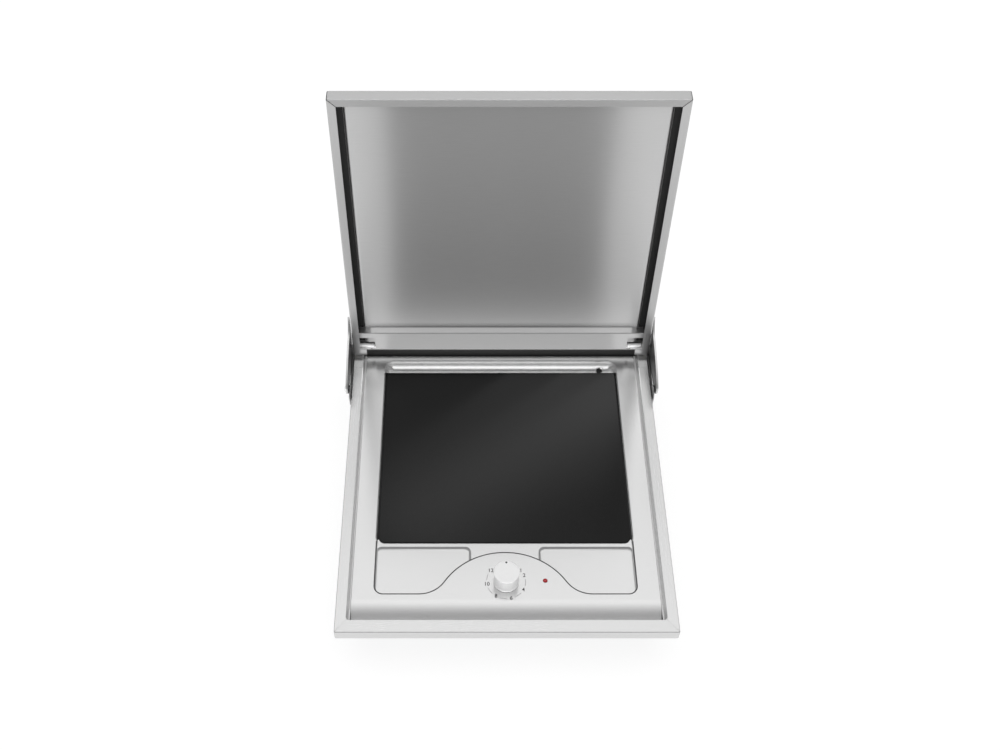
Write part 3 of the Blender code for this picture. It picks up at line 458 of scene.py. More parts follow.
def store(name, bm, finish, body, *nodes, grain=ALONG_X, spin=None, sharp=35.0):
    """Makes a piece of the mesh, which rides on a body and stands for CAD nodes."""
    bmesh.ops.remove_doubles(bm, verts=bm.verts, dist=1e-4)
    bmesh.ops.recalc_face_normals(bm, faces=bm.faces)
    for vert in bm.verts:
        vert.co = (vert.co + DATUM) * MM
    mesh = bpy.data.meshes.new(name)
    bm.to_mesh(mesh)
    bm.free()
    mesh.shade_smooth()
    mesh.set_sharp_from_angle(angle=math.radians(sharp))
    if spin:
        grain_round(mesh, (Vector(spin[0]) + DATUM) * MM, spin[1])
    else:
        grain_along(mesh, grain)
    mesh.materials.append(MATS[finish])
    obj = bpy.data.objects.new(name, mesh)
    bpy.context.scene.collection.objects.link(obj)
    flatten = obj.modifiers.new("flat_faces", "WEIGHTED_NORMAL")
    flatten.keep_sharp = True
    flatten.weight = 100
    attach(obj, body)
    if nodes:
        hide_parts(*nodes)
    return obj


# Outer frame

def frame_ring(reference, inset, z):
    side, front, rear = inset if isinstance(inset, tuple) else (inset, inset, inset)
    if reference == "outer":
        radius = max(FRAME_CORNER - side, 0.2)
        outline = rounded_rect(-FRAME_X + side, FRAME_FRONT + front, FRAME_X - side,
                               FRAME_REAR - rear, [radius] * 4)
    else:
        radius = max(OPENING_CORNER + side, 0.2)
        outline = rounded_rect(-OPENING_X - side, OPENING_FRONT - front, OPENING_X + side,
                               OPENING_REAR + rear, [radius] * 4)
    return at_z(z)(outline)


def frame_section():
    outer_fold = [("outer", SHEET - SHEET * math.sin(a), -SHEET + SHEET * math.cos(a))
                  for a in (math.pi / 2 * (1 - i / 6) for i in range(7))]
    inner_fold = [("inner", 1.0 - math.sin(a), -1.0 + math.cos(a))
                  for a in quarter(6)]
    foot, foot_back = (-OPENING_DRAFT, 0.0, 0.0), (SHEET - OPENING_DRAFT, SHEET, SHEET)
    return ([("outer", 0.0, -FRAME_DROP)] + outer_fold + inner_fold
            + [("inner", foot, DECK_TOP), ("inner", foot, -FRAME_DROP),
               ("inner", foot_back, -FRAME_DROP), ("inner", foot_back, DECK_TOP),
               ("inner", SHEET, -SHEET), ("outer", SHEET, -SHEET),
               ("outer", SHEET, SHEET - FRAME_DROP), ("outer", FRAME_LIPS, SHEET - FRAME_DROP),
               ("outer", FRAME_LIPS, -FRAME_DROP)])


def mitre(side):
    run = Vector((side * (OPENING_X - FRAME_X), OPENING_FRONT - FRAME_FRONT, 0.0))
    normal = Vector((-side * run.y, side * run.x, 0.0)).normalized()
    return Vector((side * FRAME_X, FRAME_FRONT, 0.0)), normal


def frame_members():
    half = GAP / 2
    for member, side in (("front", 0), ("left", -1), ("right", 1), ("rear", 0)):
        bm = bmesh.new()
        loft(bm, [frame_ring(*row) for row in frame_section()], closed=True)
        if member == "front":
            for corner, normal in (mitre(-1), mitre(1)):
                keep_side(bm, corner + normal * half, -normal)
        elif member == "rear":
            keep_side(bm, (0, SEAM_Y + half, 0), (0, -1, 0))
        else:
            corner, normal = mitre(side)
            keep_side(bm, corner - normal * half, normal)
            keep_side(bm, (0, SEAM_Y - half, 0), (0, 1, 0))
            keep_side(bm, (0, 0, 0), (-side, 0, 0))
        grain = ALONG_Y if side else ALONG_X
        store(f"frame_{member}_skin", bm, "frame", "base", f"frame_{member}", grain=grain)


# Deck

def hump_tangent():
    reach = Vector(HUMP_FOOT) - Vector((0.0, HUMP_CENTRE_Y))
    return math.degrees(math.atan2(reach.y, reach.x))


def right_foot():
    """From the front edge up the right side of the hump to where its crest begins."""
    return arc(HUMP_FOOT, HUMP_FOOT_RADIUS, 270, 180 + hump_tangent(), 14)


def right_crest(end_x, steps):
    end = math.degrees(math.acos(end_x / HUMP_RADIUS))
    return arc((0.0, HUMP_CENTRE_Y), HUMP_RADIUS, hump_tangent(), end, steps)


def mirrored(path):
    return [(-x, y) for x, y in reversed(path)]


def gap_corner():
    """Right front corner of the plate's opening, cut off where the recess's side begins."""
    radius = PLATE_CORNER + PLATE_GAP
    centre = (PLATE_X + PLATE_GAP - radius, PLATE_FRONT - PLATE_GAP + radius)
    end = math.degrees(math.asin((WELL_X - centre[0]) / radius))
    return arc(centre, radius, 0, -(90 - end), 6)


def well_corner():
    centre = (WELL_X - WELL_CORNER, WELL_FRONT + WELL_CORNER)
    return arc(centre, WELL_CORNER, 0, -90, 12)


def opening_right():
    """Right half of the hole in the deck's top, from the rear middle to the hump's crest."""
    edge = PLATE_X + PLATE_GAP
    rear = TROUGH_Y + TROUGH_RADIUS
    centre = (edge - TROUGH_CORNER, rear - TROUGH_CORNER)
    return (arc(centre, TROUGH_CORNER, 90, 0, 14) + gap_corner() + well_corner()
            + right_foot()[:-1] + right_crest(0.0, 28))


def deck_top():
    """Flat of the deck, the rounded edge of its opening and the walls below that edge."""
    right = opening_right()
    loop = right[:-1] + mirrored(right)
    bm = bmesh.new()
    bores = [arc(DIAL, KNOB_HOLE, 360, 0, 32)[:-1],
             arc(PILOT, PILOT_RADIUS + GAP, 360, 0, 40)[:-1]]
    side, rear = DECK_X - DECK_EDGE, DECK_REAR - DECK_EDGE
    fill(bm, at_z(DECK_TOP), [(-side, ROLL_START), (side, ROLL_START), (side, rear),
                              (-side, rear)], [shifted(loop, -TOP_EDGE)] + bores)
    profile = round_over(TOP_EDGE, DECK_TOP) + [(0.0, BAR_LEVEL + BAR_FILLET)]
    profile += round_under(BAR_FILLET, BAR_LEVEL, 3)[1:]
    rows = [at_z(z)(shifted(loop, -shift)) for shift, z in profile]
    loft(bm, rows, capped=False)
    for bore in bores:
        loft(bm, [at_z(DECK_TOP)(bore), at_z(DECK_TOP - SHEET)(bore)], capped=False)
    return bm


def deck_profile(inset):
    """Side view of the outer skin: front wall, roll, and the rear edge and wall."""
    sweep = math.degrees(math.asin((ROLL_START - ROLL_END) / ROLL_RADIUS))
    roll = arc((ROLL_START, DECK_TOP - ROLL_RADIUS), ROLL_RADIUS - inset, 90, 90 + sweep, 24)
    rear = arc((DECK_REAR - DECK_EDGE, DECK_TOP - DECK_EDGE), DECK_EDGE - inset, 90, 0, 6)
    return [(roll[-1][0], DECK_BOTTOM)] + roll[::-1], rear + [(rear[-1][0], DECK_BOTTOM)]


def deck_skirt(bm):
    stations = [(DECK_X - DECK_EDGE + DECK_EDGE * math.sin(a), DECK_EDGE - DECK_EDGE * math.cos(a))
                for a in quarter(6)]
    for side in (-1, 1):
        front = [at_x(side * x)(deck_profile(inset)[0]) for x, inset in stations]
        rear = [at_x(side * x)(deck_profile(inset)[1]) for x, inset in stations]
        whole = [a + b for a, b in zip(front, rear)]
        sheet(bm, whole)
        x, inset = stations[-1]
        loop = deck_profile(inset)[0] + deck_profile(inset)[1]
        bm.faces.new([bm.verts.new(point) for point in at_x(side * x)(loop)])
    flat = DECK_X - DECK_EDGE
    for part in deck_profile(0.0):
        sheet(bm, [at_x(-flat)(part), at_x(flat)(part)])


def well_edges():
    """Right well: the edge it shares with the opening, and its own back and inner edge."""
    shared = [(WELL_X, WELL_BACK - WELL_BACK_CORNER)] + well_corner()
    shared += right_foot()[:-1] + right_crest(WELL_INNER_X, 10)
    inner, back = WELL_INNER_CORNER, WELL_BACK_CORNER
    own = [shared[-1]]
    own += arc((WELL_INNER_X + inner, WELL_BACK - inner), inner, 180, 90, 10)
    own += arc((WELL_X - back, WELL_BACK - back), back, 90, 0, 10)
    return shared, own


def well_surface(bm, side):
    """Floor and walls of one well; the inner end slopes more than the back."""
    shared, own = well_edges()
    loop = shared + own[1:-1]
    count = len(shared)
    reach = [WELL_END_REACH if x < WELL_INNER_X + WELL_INNER_CORNER
             and y > shared[-1][1] - WELL_END_MARGIN else 1.0 for x, y in loop]
    tops = [DECK_TOP - WELL_TOP_DROP if i < count else BAR_LEVEL for i in range(len(loop))]
    rows = []
    for shift, z in round_over(WELL_LIP, 0.0, 4):
        rows.append([(x, y, BAR_LEVEL + z) if i >= count else (*loop[i], tops[i])
                     for i, (x, y) in enumerate(shifted(loop, -shift))])
    low = [top if i < count else top - WELL_LIP for i, top in enumerate(tops)]
    for part, depth in WELL_WALL:
        points = shifted(loop, WELL_SLOPE * part, reach=reach)
        rows.append([(x, y, z + (WELL_FLOOR - z) * depth) for (x, y), z in zip(points, low)])

    def turn(row):
        return [(side * x, y, z) for x, y, z in row]

    loft(bm, [turn(row) for row in rows], capped=False)
    flat = [(x, y) for x, y, _ in rows[-1]]
    fill(bm, lambda outline: turn(at_z(WELL_FLOOR)(outline)), flat)


def bar_surface(bm):
    """The flat between the wells, the hump and the plate."""
    shared, own = well_edges()
    own_out = shifted(shared + own[1:-1], -WELL_LIP)[len(shared):]
    right = [(WELL_X - 0.4, PLATE_FRONT + 6.0), (WELL_X - 0.4, own[-1][1])]
    right += own_out[::-1] + [(WELL_INNER_X - WELL_LIP, own[0][1] + 0.4)]
    start = math.degrees(math.acos(WELL_INNER_X / HUMP_RADIUS))
    crest = arc((0.0, HUMP_CENTRE_Y), HUMP_RADIUS, start, 90, 16)[1:]
    right += [(x, y + BAR_OVERLAP) for x, y in crest]
    fill(bm, at_z(BAR_LEVEL), right[:-1] + mirrored(right))


def trough_rear(x):
    """Where the trough's rear edge is at x; it follows the opening's rounded corners."""
    edge = PLATE_X + PLATE_GAP
    over = max(abs(x) - (edge - TROUGH_CORNER), 0.0)
    return (TROUGH_Y + TROUGH_RADIUS - TROUGH_CORNER
            + math.sqrt(max(TROUGH_CORNER ** 2 - over ** 2, 0.0)))


def trough_point(front, rear, depth, turn):
    """Distance along Y and height of the channel at an angle from its rear edge."""
    middle, half = (rear + front) / 2, (rear - front) / 2
    drop = (depth - TROUGH_DROP) * math.sin(turn) ** TROUGH_BOWL
    return middle + half * math.cos(turn), DECK_TOP - TROUGH_DROP - drop


def trough_surface(bm):
    """Half-round channel whose two ends ramp up to the rounded corners of the opening."""
    edge = PLATE_X + PLATE_GAP - 0.02
    xs = [edge * math.sin(math.pi / 2 * i / 46) for i in range(47)]
    xs = sorted({round(s * x, 4) for x in xs for s in (-1, 1)})
    rows = []
    for i in range(29):
        turn = math.pi * i / 28
        row = []
        for x in xs:
            ramp = max(abs(x) - TROUGH_RAMP_X, 0.0) / (edge - TROUGH_RAMP_X)
            depth = TROUGH_RADIUS * (1.0 - TROUGH_RAMP_RISE * ramp)
            row.append((x, *trough_point(TROUGH_FRONT, trough_rear(x), depth, turn)))
        rows.append(row)
    sheet(bm, rows)
    x0, y0 = DRAIN
    doomed = [f for f in bm.faces
              if math.hypot(f.calc_center_median().x - x0,
                            f.calc_center_median().y - y0) < DRAIN_RADIUS + 0.1]
    bmesh.ops.delete(bm, geom=doomed, context="FACES")


def trough_level(y):
    """Height of the channel's surface at y, away from its two ends."""
    rear = TROUGH_Y + TROUGH_RADIUS
    middle, half = (rear + TROUGH_FRONT) / 2, (rear - TROUGH_FRONT) / 2
    turn = math.acos(max(-1.0, min(1.0, (y - middle) / half)))
    return trough_point(TROUGH_FRONT, rear, TROUGH_RADIUS, turn)[1]


def drain_rim(bm):
    """Pressed ring round the drain hole, with the bore below it."""
    rows = []
    for radius, lift in DRAIN_RING:
        circle = arc(DRAIN, radius, 0, 360, 64)[:-1]
        rows.append([(x, y, trough_level(y) + lift) for x, y in circle])
    loft(bm, rows, capped=False)


def edge_line():
    """Fine dark strip on the deck, a painted reflection standing in for the dark line in its pressed
    front edge.
    """
    right = opening_right()
    start = next(i for i, (_, y) in enumerate(right) if y < WELL_BACK) - 1
    path = right[start:] + mirrored(right[start:])[1:]
    near, far = EDGE_LINE
    bm = bmesh.new()
    rows = [at_z(DECK_TOP + PRINT_LIFT)(shifted(path, -shift, closed=False)) for shift in (near, far)]
    sheet(bm, rows)
    store("hob_deck_edge_line", bm, "painted_dark_strip", "base")


def gap_fillings():
    """Sealant between the deck and the frame, and a dark strip of painted shade under the lid's rail.
    """
    wall, edge = OPENING_X - OPENING_DRAFT, DECK_X
    for name, side in (("left", -1), ("right", 1)):
        inner, outer = sorted((side * (edge - 0.6), side * (wall + 0.4)))
        bm = bmesh.new()
        block(bm, inner, outer, OPENING_FRONT + 6.0, DECK_REAR, DECK_TOP - 3.0, DECK_TOP - 0.4,
              0.1)
        store(f"deck_sealant_{name}", bm, "sealant", "base")
    # Dark strip where the lid's rail throws shade: painted shade.
    bm = bmesh.new()
    block(bm, -edge, edge, OPENING_REAR - 1.0, OPENING_REAR - 0.1, DECK_TOP - 4.0, -1.4, 0.1)
    store("rear_sealing_strip", bm, "painted_dark_strip", "base")


def hob_deck():
    bm = deck_top()
    deck_skirt(bm)
    for side in (-1, 1):
        well_surface(bm, side)
    bar_surface(bm)
    store("hob_deck_skin", bm, "deck", "base", "hob_deck", sharp=40.0)
    bm = bmesh.new()
    trough_surface(bm)
    drain_rim(bm)
    store("drip_trough_skin", bm, "trough", "base", "drip_trough", sharp=40.0)
    # The throat is a dark disc of painted shade inside the drain hole.
    bm = bmesh.new()
    high, low = (trough_level(DRAIN[1]) - depth for depth in DRAIN_THROAT)
    throat = DRAIN_RADIUS - 0.05
    turned(bm, ((0.0, high), (throat, high), (throat, low), (0.0, low)), DRAIN, at_z, 48,
           soften=0)
    store("drain_throat", bm, "shade", "base")


def plate_and_seal():
    bm = bmesh.new()
    rings = []
    bottom = PLATE_TOP - PLATE_THICKNESS
    edge = PLATE_EDGE
    steps = [(edge * (1 - math.sin(a)), PLATE_TOP - edge + edge * math.cos(a))
             for a in quarter(5)]
    for inset, z in steps + [(0.0, bottom)]:
        radii = [PLATE_CORNER - inset] * 2 + [PLATE_REAR_CORNER - inset] * 2
        outline = rounded_rect(-PLATE_X + inset, PLATE_FRONT + inset, PLATE_X - inset,
                               PLATE_REAR - inset, radii, 12)
        rings.append(at_z(z)(outline))
    loft(bm, rings)
    store("hot_plate_skin", bm, "plate", "base", "hot_plate")
    end = PLATE_REAR - 2.0
    outer_x, outer_y = PLATE_X + PLATE_GAP - 0.1, PLATE_FRONT - PLATE_GAP + 0.1
    inner_x, inner_y = PLATE_X + 0.1, PLATE_FRONT - 0.1
    outer_r, inner_r = PLATE_CORNER + PLATE_GAP, PLATE_CORNER
    outline = [(-outer_x, end)]
    outline += arc((-outer_x + outer_r, outer_y + outer_r), outer_r, 180, 270, 16)
    outline += arc((outer_x - outer_r, outer_y + outer_r), outer_r, 270, 360, 16)
    outline += [(outer_x, end), (inner_x, end)]
    outline += arc((inner_x - inner_r, inner_y + inner_r), inner_r, 360, 270, 16)
    outline += arc((-inner_x + inner_r, inner_y + inner_r), inner_r, 270, 180, 16)
    outline += [(-inner_x, end)]
    bm = bmesh.new()
    prism(bm, outline, bottom, PLATE_TOP - SEAL_DROP, at_z)
    store("plate_seal_skin", bm, "seal", "base", "plate_seal")


# Controls

def knob():
    """Turned body with a dished face, whose rings stand for the turning lines."""
    low, r, top = DECK_TOP + GAP, KNOB_RADIUS, KNOB_TOP
    profile = [(SHAFT_RADIUS + 0.3, low), (r - 0.3, low), (r, low + 0.3), (r, low + 1.4),
               (r - 0.9, low + 2.2), (r - 1.3, low + 5.0), (r - 1.3, low + 8.0),
               (r - 1.0, top - 8.0), (r - 0.2, top - 2.0), (r - 0.2, top - 0.6),
               (r - 0.5, top - 0.1), (r - 1.0, top)]
    bm = bmesh.new()
    turned(bm, profile, DIAL, at_z, 128, soften=0.5)
    face = [f for f in bm.faces if len(f.verts) > 20 and f.calc_center_median().z > 0]
    bmesh.ops.delete(bm, geom=face, context="FACES_ONLY")
    rings = []
    for i in range(KNOB_LINES):
        radius = (r - 1.0) * (1 - i / KNOB_LINES)
        dish = -KNOB_DISH * (1 - radius / (r - 1.0)) + (KNOB_LINE_HEIGHT if i % 2 else 0.0)
        rings.append(at_z(top + dish)(arc(DIAL, radius, 0, 360, 128)[:-1]))
    loft(bm, rings, capped=False)
    bm.faces.new([bm.verts.new(p) for p in rings[-1]])
    spin = ((*DIAL, 0.0), ALONG_Z)
    store("knob_skin", bm, "knob", "knob", "knob", spin=spin, sharp=50.0)
    dot = (DIAL[0], DIAL[1] + r - 2.9)
    bm = bmesh.new()
    turned(bm, ((1.5, top - 0.4), (1.5, top + 0.02), (1.2, top + 0.08)), dot, at_z, 32, soften=0)
    store("knob_index_skin", bm, "black", "knob", "knob_index")


def pilot_lens():
    r, seat = PILOT_RADIUS, DECK_TOP - SHEET
    dome = [(r, seat), (r, DECK_TOP + 0.2)]
    dome += [(r * math.cos(a), DECK_TOP + 0.2 + 1.6 * math.sin(a))
             for a in quarter(9)[1:-1]]
    bm = bmesh.new()
    turned(bm, dome, PILOT, at_z, 48, soften=0)
    store("pilot_lens_skin", bm, "red", "base", "pilot_lens", sharp=60.0)


def number(text, angle, bm):
    """Adds one printed dial number to the mesh, upright to the user."""
    curve = bpy.data.curves.new("number", "FONT")
    curve.body = text
    curve.size = DIAL_TEXT
    curve.align_x = curve.align_y = "CENTER"
    curve.resolution_u = 4
    curve.offset = 0.11
    obj = bpy.data.objects.new("number", curve)
    bpy.context.scene.collection.objects.link(obj)
    bpy.context.view_layer.update()
    mesh = bpy.data.meshes.new_from_object(obj)
    turn = math.radians(angle)
    centre = Vector((DIAL[0] + DIAL_RADIUS * math.sin(turn),
                     DIAL[1] + DIAL_RADIUS * math.cos(turn), DECK_TOP + PRINT_LIFT))
    verts = [bm.verts.new(v.co + centre) for v in mesh.vertices]
    for face in mesh.polygons:
        bm.faces.new([verts[i] for i in face.vertices])
    bpy.data.objects.remove(obj)
    bpy.data.meshes.remove(mesh)


def dial_print():
    bm = bmesh.new()
    for text, angle in DIAL_NUMBERS:
        number(text, angle, bm)
    store("dial_numbers", bm, "print", "base")
    bm = bmesh.new()
    angles = [angle for _, angle in DIAL_NUMBERS]
    for start, end in zip(angles[1:], angles[2:]):
        low, high = 90 - start - DIAL_ARC_GAP, 90 - end + DIAL_ARC_GAP
        rows = [arc(DIAL, DIAL_RADIUS + step, low, high, 8) for step in (-0.3, 0.3)]
        sheet(bm, [at_z(DECK_TOP + PRINT_LIFT)(row) for row in rows])
    store("dial_arcs", bm, "light_print", "base")


# Lid

def lid_ring(inset, y):
    radius = max(LID_CORNER - inset, 0.2)
    outline = rounded_rect(-LID_X + inset, LID_BOTTOM - 40.0, LID_X - inset, LID_TOP - inset,
                           [radius] * 4)
    return at_y(y)(outline)


def lid_section():
    t, w, d, r = THIN_SHEET, RIM_WIDTH, LID_DEPTH, 1.9
    fold = [(r - r * math.sin(a), r - r * math.cos(a))
            for a in quarter(6)]
    back = [(r - r * math.cos(a), d - r + r * math.sin(a))
            for a in quarter(5)]
    return [(w, 0.0)] + fold + back + [(t + 0.05, d), (t + 0.05, t), (w, t)]


def mitre_shadow(name, side):
    """Painted shadow: a dark strip under the mitre seam between the front return and a side return.
    """
    outer, inner, half = 1.2, RIM_WIDTH - 0.3, 0.9
    edge, top = LID_X, LID_TOP
    outline = [(edge - outer - half, top - outer), (edge - outer, top - outer - half),
               (edge - inner, top - inner - half), (edge - inner - half, top - inner)]
    outline = [(side * x, z) for x, z in outline]
    bm = bmesh.new()
    prism(bm, outline, 0.35, THIN_SHEET + 0.1, at_y)
    store(f"lid_mitre_{name}", bm, "shade", "lid")


def lid_rims():
    for name, side in (("front", 0), ("left", -1), ("right", 1)):
        bm = bmesh.new()
        loft(bm, [lid_ring(*row) for row in lid_section()], closed=True)
        for corner in (-1, 1):
            normal = Vector((-corner, 0.0, 1.0)).normalized()
            point = Vector((corner * LID_X, 0.0, LID_TOP))
            if side == 0:
                keep_side(bm, point + normal * MITRE_GAP, -normal)
            elif side == corner:
                keep_side(bm, point - normal * MITRE_GAP, normal)
        if side:
            keep_side(bm, (0, 0, LID_BOTTOM), (0, 0, -1))
            keep_side(bm, (0, 0, 0), (-side, 0, 0))
            inner, outer = sorted((side * FOOT_INNER_X, side * (LID_X - RIM_WIDTH + 0.5)))
            block(bm, inner, outer, 0.02, THIN_SHEET - 0.05, LID_BOTTOM + 0.05, RAIL_BOTTOM)
        grain = ALONG_Z if side else ALONG_X
        finish = "lid" if side else "rim"
        store(f"lid_rim_{name}_skin", bm, finish, "lid", f"lid_rim_{name}", grain=grain)
        if side:
            mitre_shadow(name, side)


def lid_sheets():
    edge, top = LID_X - THIN_SHEET - GAP, LID_TOP - THIN_SHEET - GAP
    bm = bmesh.new()
    block(bm, -edge, edge, LID_DEPTH - THIN_SHEET, LID_DEPTH, LID_BOTTOM, top, 0.2)
    store("lid_panel_skin", bm, "lid", "lid", "lid_panel")
    r, end = LINER_FOLD_RADIUS, 270.0 + LINER_FOLD_SWEEP
    centre = (LINER_X - r * math.sin(math.radians(LINER_FOLD_SWEEP)), LINER_FACE + r)
    right = arc(centre, r, 270, end, 12) + arc(centre, r - LINER_SHEET, end, 270, 12)
    bm = bmesh.new()
    prism(bm, right + mirrored(right), LINER_BOTTOM, LINER_TOP, at_z)
    store("lid_liner_skin", bm, "liner", "lid", "lid_liner")
    back = LID_DEPTH - THIN_SHEET - GAP
    bm = bmesh.new()
    block(bm, -edge, edge, back - DAMPING_SHEET, back, LINER_BOTTOM, LINER_TOP, 0.15)
    store("lid_damping_skin", bm, "damping", "lid", "lid_damping_sheet")


def rail_outline():
    t, low, high, r = THIN_SHEET, RAIL_BOTTOM, RAIL_TOP, 1.7
    back = LID_DEPTH - THIN_SHEET - GAP
    bottom = arc((r, low + r), r, 270, 180, 6)
    top = arc((r, high - r), r, 180, 90, 6)
    return ([(back, low)] + bottom + top + [(RAIL_LIP, high), (RAIL_LIP, high - t),
                                            (t, high - t), (t, low + t), (back, low + t)])


def lid_rear_rail():
    """Rail in three lengths: full height between the cut-outs, and a strip above each."""
    edge = LID_X - RIM_WIDTH - GAP
    t, high = THIN_SHEET, RAIL_TOP
    bm = bmesh.new()
    prism(bm, rail_outline(), -CUTOUT_INNER_X, CUTOUT_INNER_X, at_x)
    strip = ([(0.0, CUTOUT_TOP)] + arc((1.1, high - 1.1), 1.1, 180, 90, 6)
             + [(RAIL_LIP, high), (RAIL_LIP, high - t), (t, high - t), (t, CUTOUT_TOP)])
    for side in (-1, 1):
        prism(bm, strip, side * CUTOUT_INNER_X, side * edge, at_x)
    store("lid_rear_rail_skin", bm, "lid", "lid", "lid_rear_rail")


# Hinges

def cheek_outline():
    nose, nose_radius = (-73.0, 20.0), 14.0
    front = arc(nose, nose_radius, 262, 112, 24)
    shoulder, tip = (-8.0, 51.8), (22.3, 76.0)
    top = bezier(front[-1], (-62.0, 41.5), (-34.0, 50.0), shoulder, 20)
    flare = bezier(shoulder, (8.0, 53.0), (17.0, 60.0), tip, 16)
    heel = arc((18.3, -1.0), 4.0, 360, 270, 8)
    return (front + top + flare + heel)[::-1]


def bracket_outline():
    ear = arc((SPACER[0], SPACER[1] - 2.0), 7.5, 180, 20, 20)
    return ([(-84.0, -16.8), (-84.0, 2.0)] + ear + [(-62.0, 4.0), (19.0, 4.0), (20.0, 3.0),
                                                    (20.0, -16.8)])[::-1]


def hinge_side(name, side):
    hole = PIN_RADIUS + GAP
    pin_holes = [arc(place, hole, 360, 0, 32)[:-1] for place in (PIVOT, SPACER)]
    bm = bmesh.new()
    plate_body(bm, cheek_outline(), side * CHEEK_INNER_X, side * CHEEK_OUTER_X, at_x, 0.45,
               pin_holes)
    store(f"hinge_cheek_{name}_skin", bm, "hinge", "base", f"hinge_cheek_{name}", grain=ALONG_Y)
    # Thin dark sheet on the cheek's inner face: painted shade, not a working part.
    bm = bmesh.new()
    outline = [(min(y, CHEEK_SHADE_PAD_REAR), z) for y, z in shifted(cheek_outline(), -CHEEK_RIM)]
    plate_body(bm, outline, side * CHEEK_SHADE_PAD[0], side * CHEEK_SHADE_PAD[1], at_x, 0.05, pin_holes)
    store(f"hinge_pad_{name}", bm, "painted_shade_steel", "base")
    # Inner bracket, in the darkened hinge steel that paints its shade.
    bm = bmesh.new()
    plate_body(bm, bracket_outline(), side * BRACKET_INNER_X, side * BRACKET_OUTER_X, at_x, 0.35,
               [arc(SPACER, hole, 360, 0, 32)[:-1]])
    store(f"hinge_bracket_{name}_skin", bm, "painted_shade_hinge", "base", f"hinge_bracket_{name}",
          grain=ALONG_Y)
    start, end, collar_end = BARREL_INNER_X, BARREL_OUTER_X, BARREL_INNER_X + 3.8
    profile = ((hole, start + 3.0), (hole, start), (BARREL_COLLAR - 0.5, start),
               (BARREL_COLLAR, start + 0.5), (BARREL_COLLAR, collar_end),
               (BARREL_RADIUS, collar_end), (BARREL_RADIUS, end), (hole, end), (hole, end - 4.0))
    bm = bmesh.new()
    turned(bm, [(radius, side * x) for radius, x in profile], PIVOT, at_x, 64)
    spin = ((0.0, *PIVOT), ALONG_X)
    store(f"hinge_barrel_{name}_skin", bm, "barrel", "base", f"hinge_barrel_{name}", spin=spin)
    # Barrel post, coloured near-black as painted shade.
    bm = bmesh.new()
    inner, outer = sorted(side * x for x in BARREL_POST)
    block(bm, inner, outer, *POST_Y, POST_FOOT, POST_HEAD, 0.4)
    store(f"hinge_post_{name}", bm, "painted_shade_steel", "base")
    head = BRACKET_OUTER_X + GAP
    pins = {"cheek_spacer": (SPACER, ((2.6, 240.9), (PIN_RADIUS, 241.3), (PIN_RADIUS, 246.8),
                                      (4.6, 246.8), (4.6, 248.9), (4.0, 249.5))),
            "hinge_pin": (PIVOT, ((2.5, 211.0), (PIN_RADIUS, 211.5), (PIN_RADIUS, 245.8),
                                  (2.6, 246.2))),
            "hinge_screw": (HINGE_SCREW, ((2.4, head + 2.0), (3.4, head + 1.4), (3.4, head),
                                          (1.9, head), (1.9, 236.6)))}
    for piece, (place, profile) in pins.items():
        bm = bmesh.new()
        turned(bm, [(r, side * x) for r, x in profile], place, at_x, 48)
        store(f"{piece}_{name}_skin", bm, "bright", "base", f"{piece}_{name}",
              spin=((0.0, *place), ALONG_X))


# Nodes that keep their CAD shape

CORNERS = ("front_left", "front_right", "rear_left", "rear_right")
KEPT = {"galvanised": ("collar_front", "collar_left", "collar_right", "collar_rear",
                       "plate_rail_left", "plate_rail_right", "element_tray", "bottom_casing",
                       *(f"worktop_clamp_{corner}" for corner in CORNERS)),
        "element": ("heating_element",), "fibre": ("insulation_pad",),
        "black": ("cable_gland", "pilot_lamp_body"),
        "ivory": ("terminal_block", "energy_regulator", "lid_bush_left", "lid_bush_right"),
        "bright": ("drain_spout", "regulator_shaft", *(f"{place}_screw_{corner}" for corner
                                                       in CORNERS for place in ("casing", "clamp")))}


def finish_kept_nodes():
    plain = speckled("plain_bright_steel", grey(0.72), grey(0.80), 0.20, 1.0, 400.0, 0.05)
    for finish, names in KEPT.items():
        for name in names:
            node = frame["nodes"][name]
            mat = plain if finish == "bright" else MATS[finish]
            if not node.data.materials:
                node.data.materials.append(mat)
            for i in range(len(node.data.materials)):
                node.data.materials[i] = mat


# Studio

def floor():
    """Plain white floor; part of its brightness is its own glow."""
    mesh = bpy.data.meshes.new("studio_floor")
    reach = 6.0
    mesh.from_pydata([(-reach, -reach, 0), (reach, -reach, 0), (reach, reach, 0),
                      (-reach, reach, 0)], [], [(0, 1, 2, 3)])
    obj = bpy.data.objects.new("studio_floor", mesh)
    obj.location = (0.0, 0.0, -0.0005)
    bpy.context.scene.collection.objects.link(obj)
    n = Nodes("studio_white")
    for key, value in (("Base Color", (*grey(FLOOR_GREY), 1.0)), ("Roughness", 0.9),
                       ("Specular IOR Level", 0.1), ("Emission Color", (1.0, 1.0, 1.0, 1.0)),
                       ("Emission Strength", FLOOR_GLOW)):
        n.shader.inputs[key].default_value = value
    mesh.materials.append(n.mat)


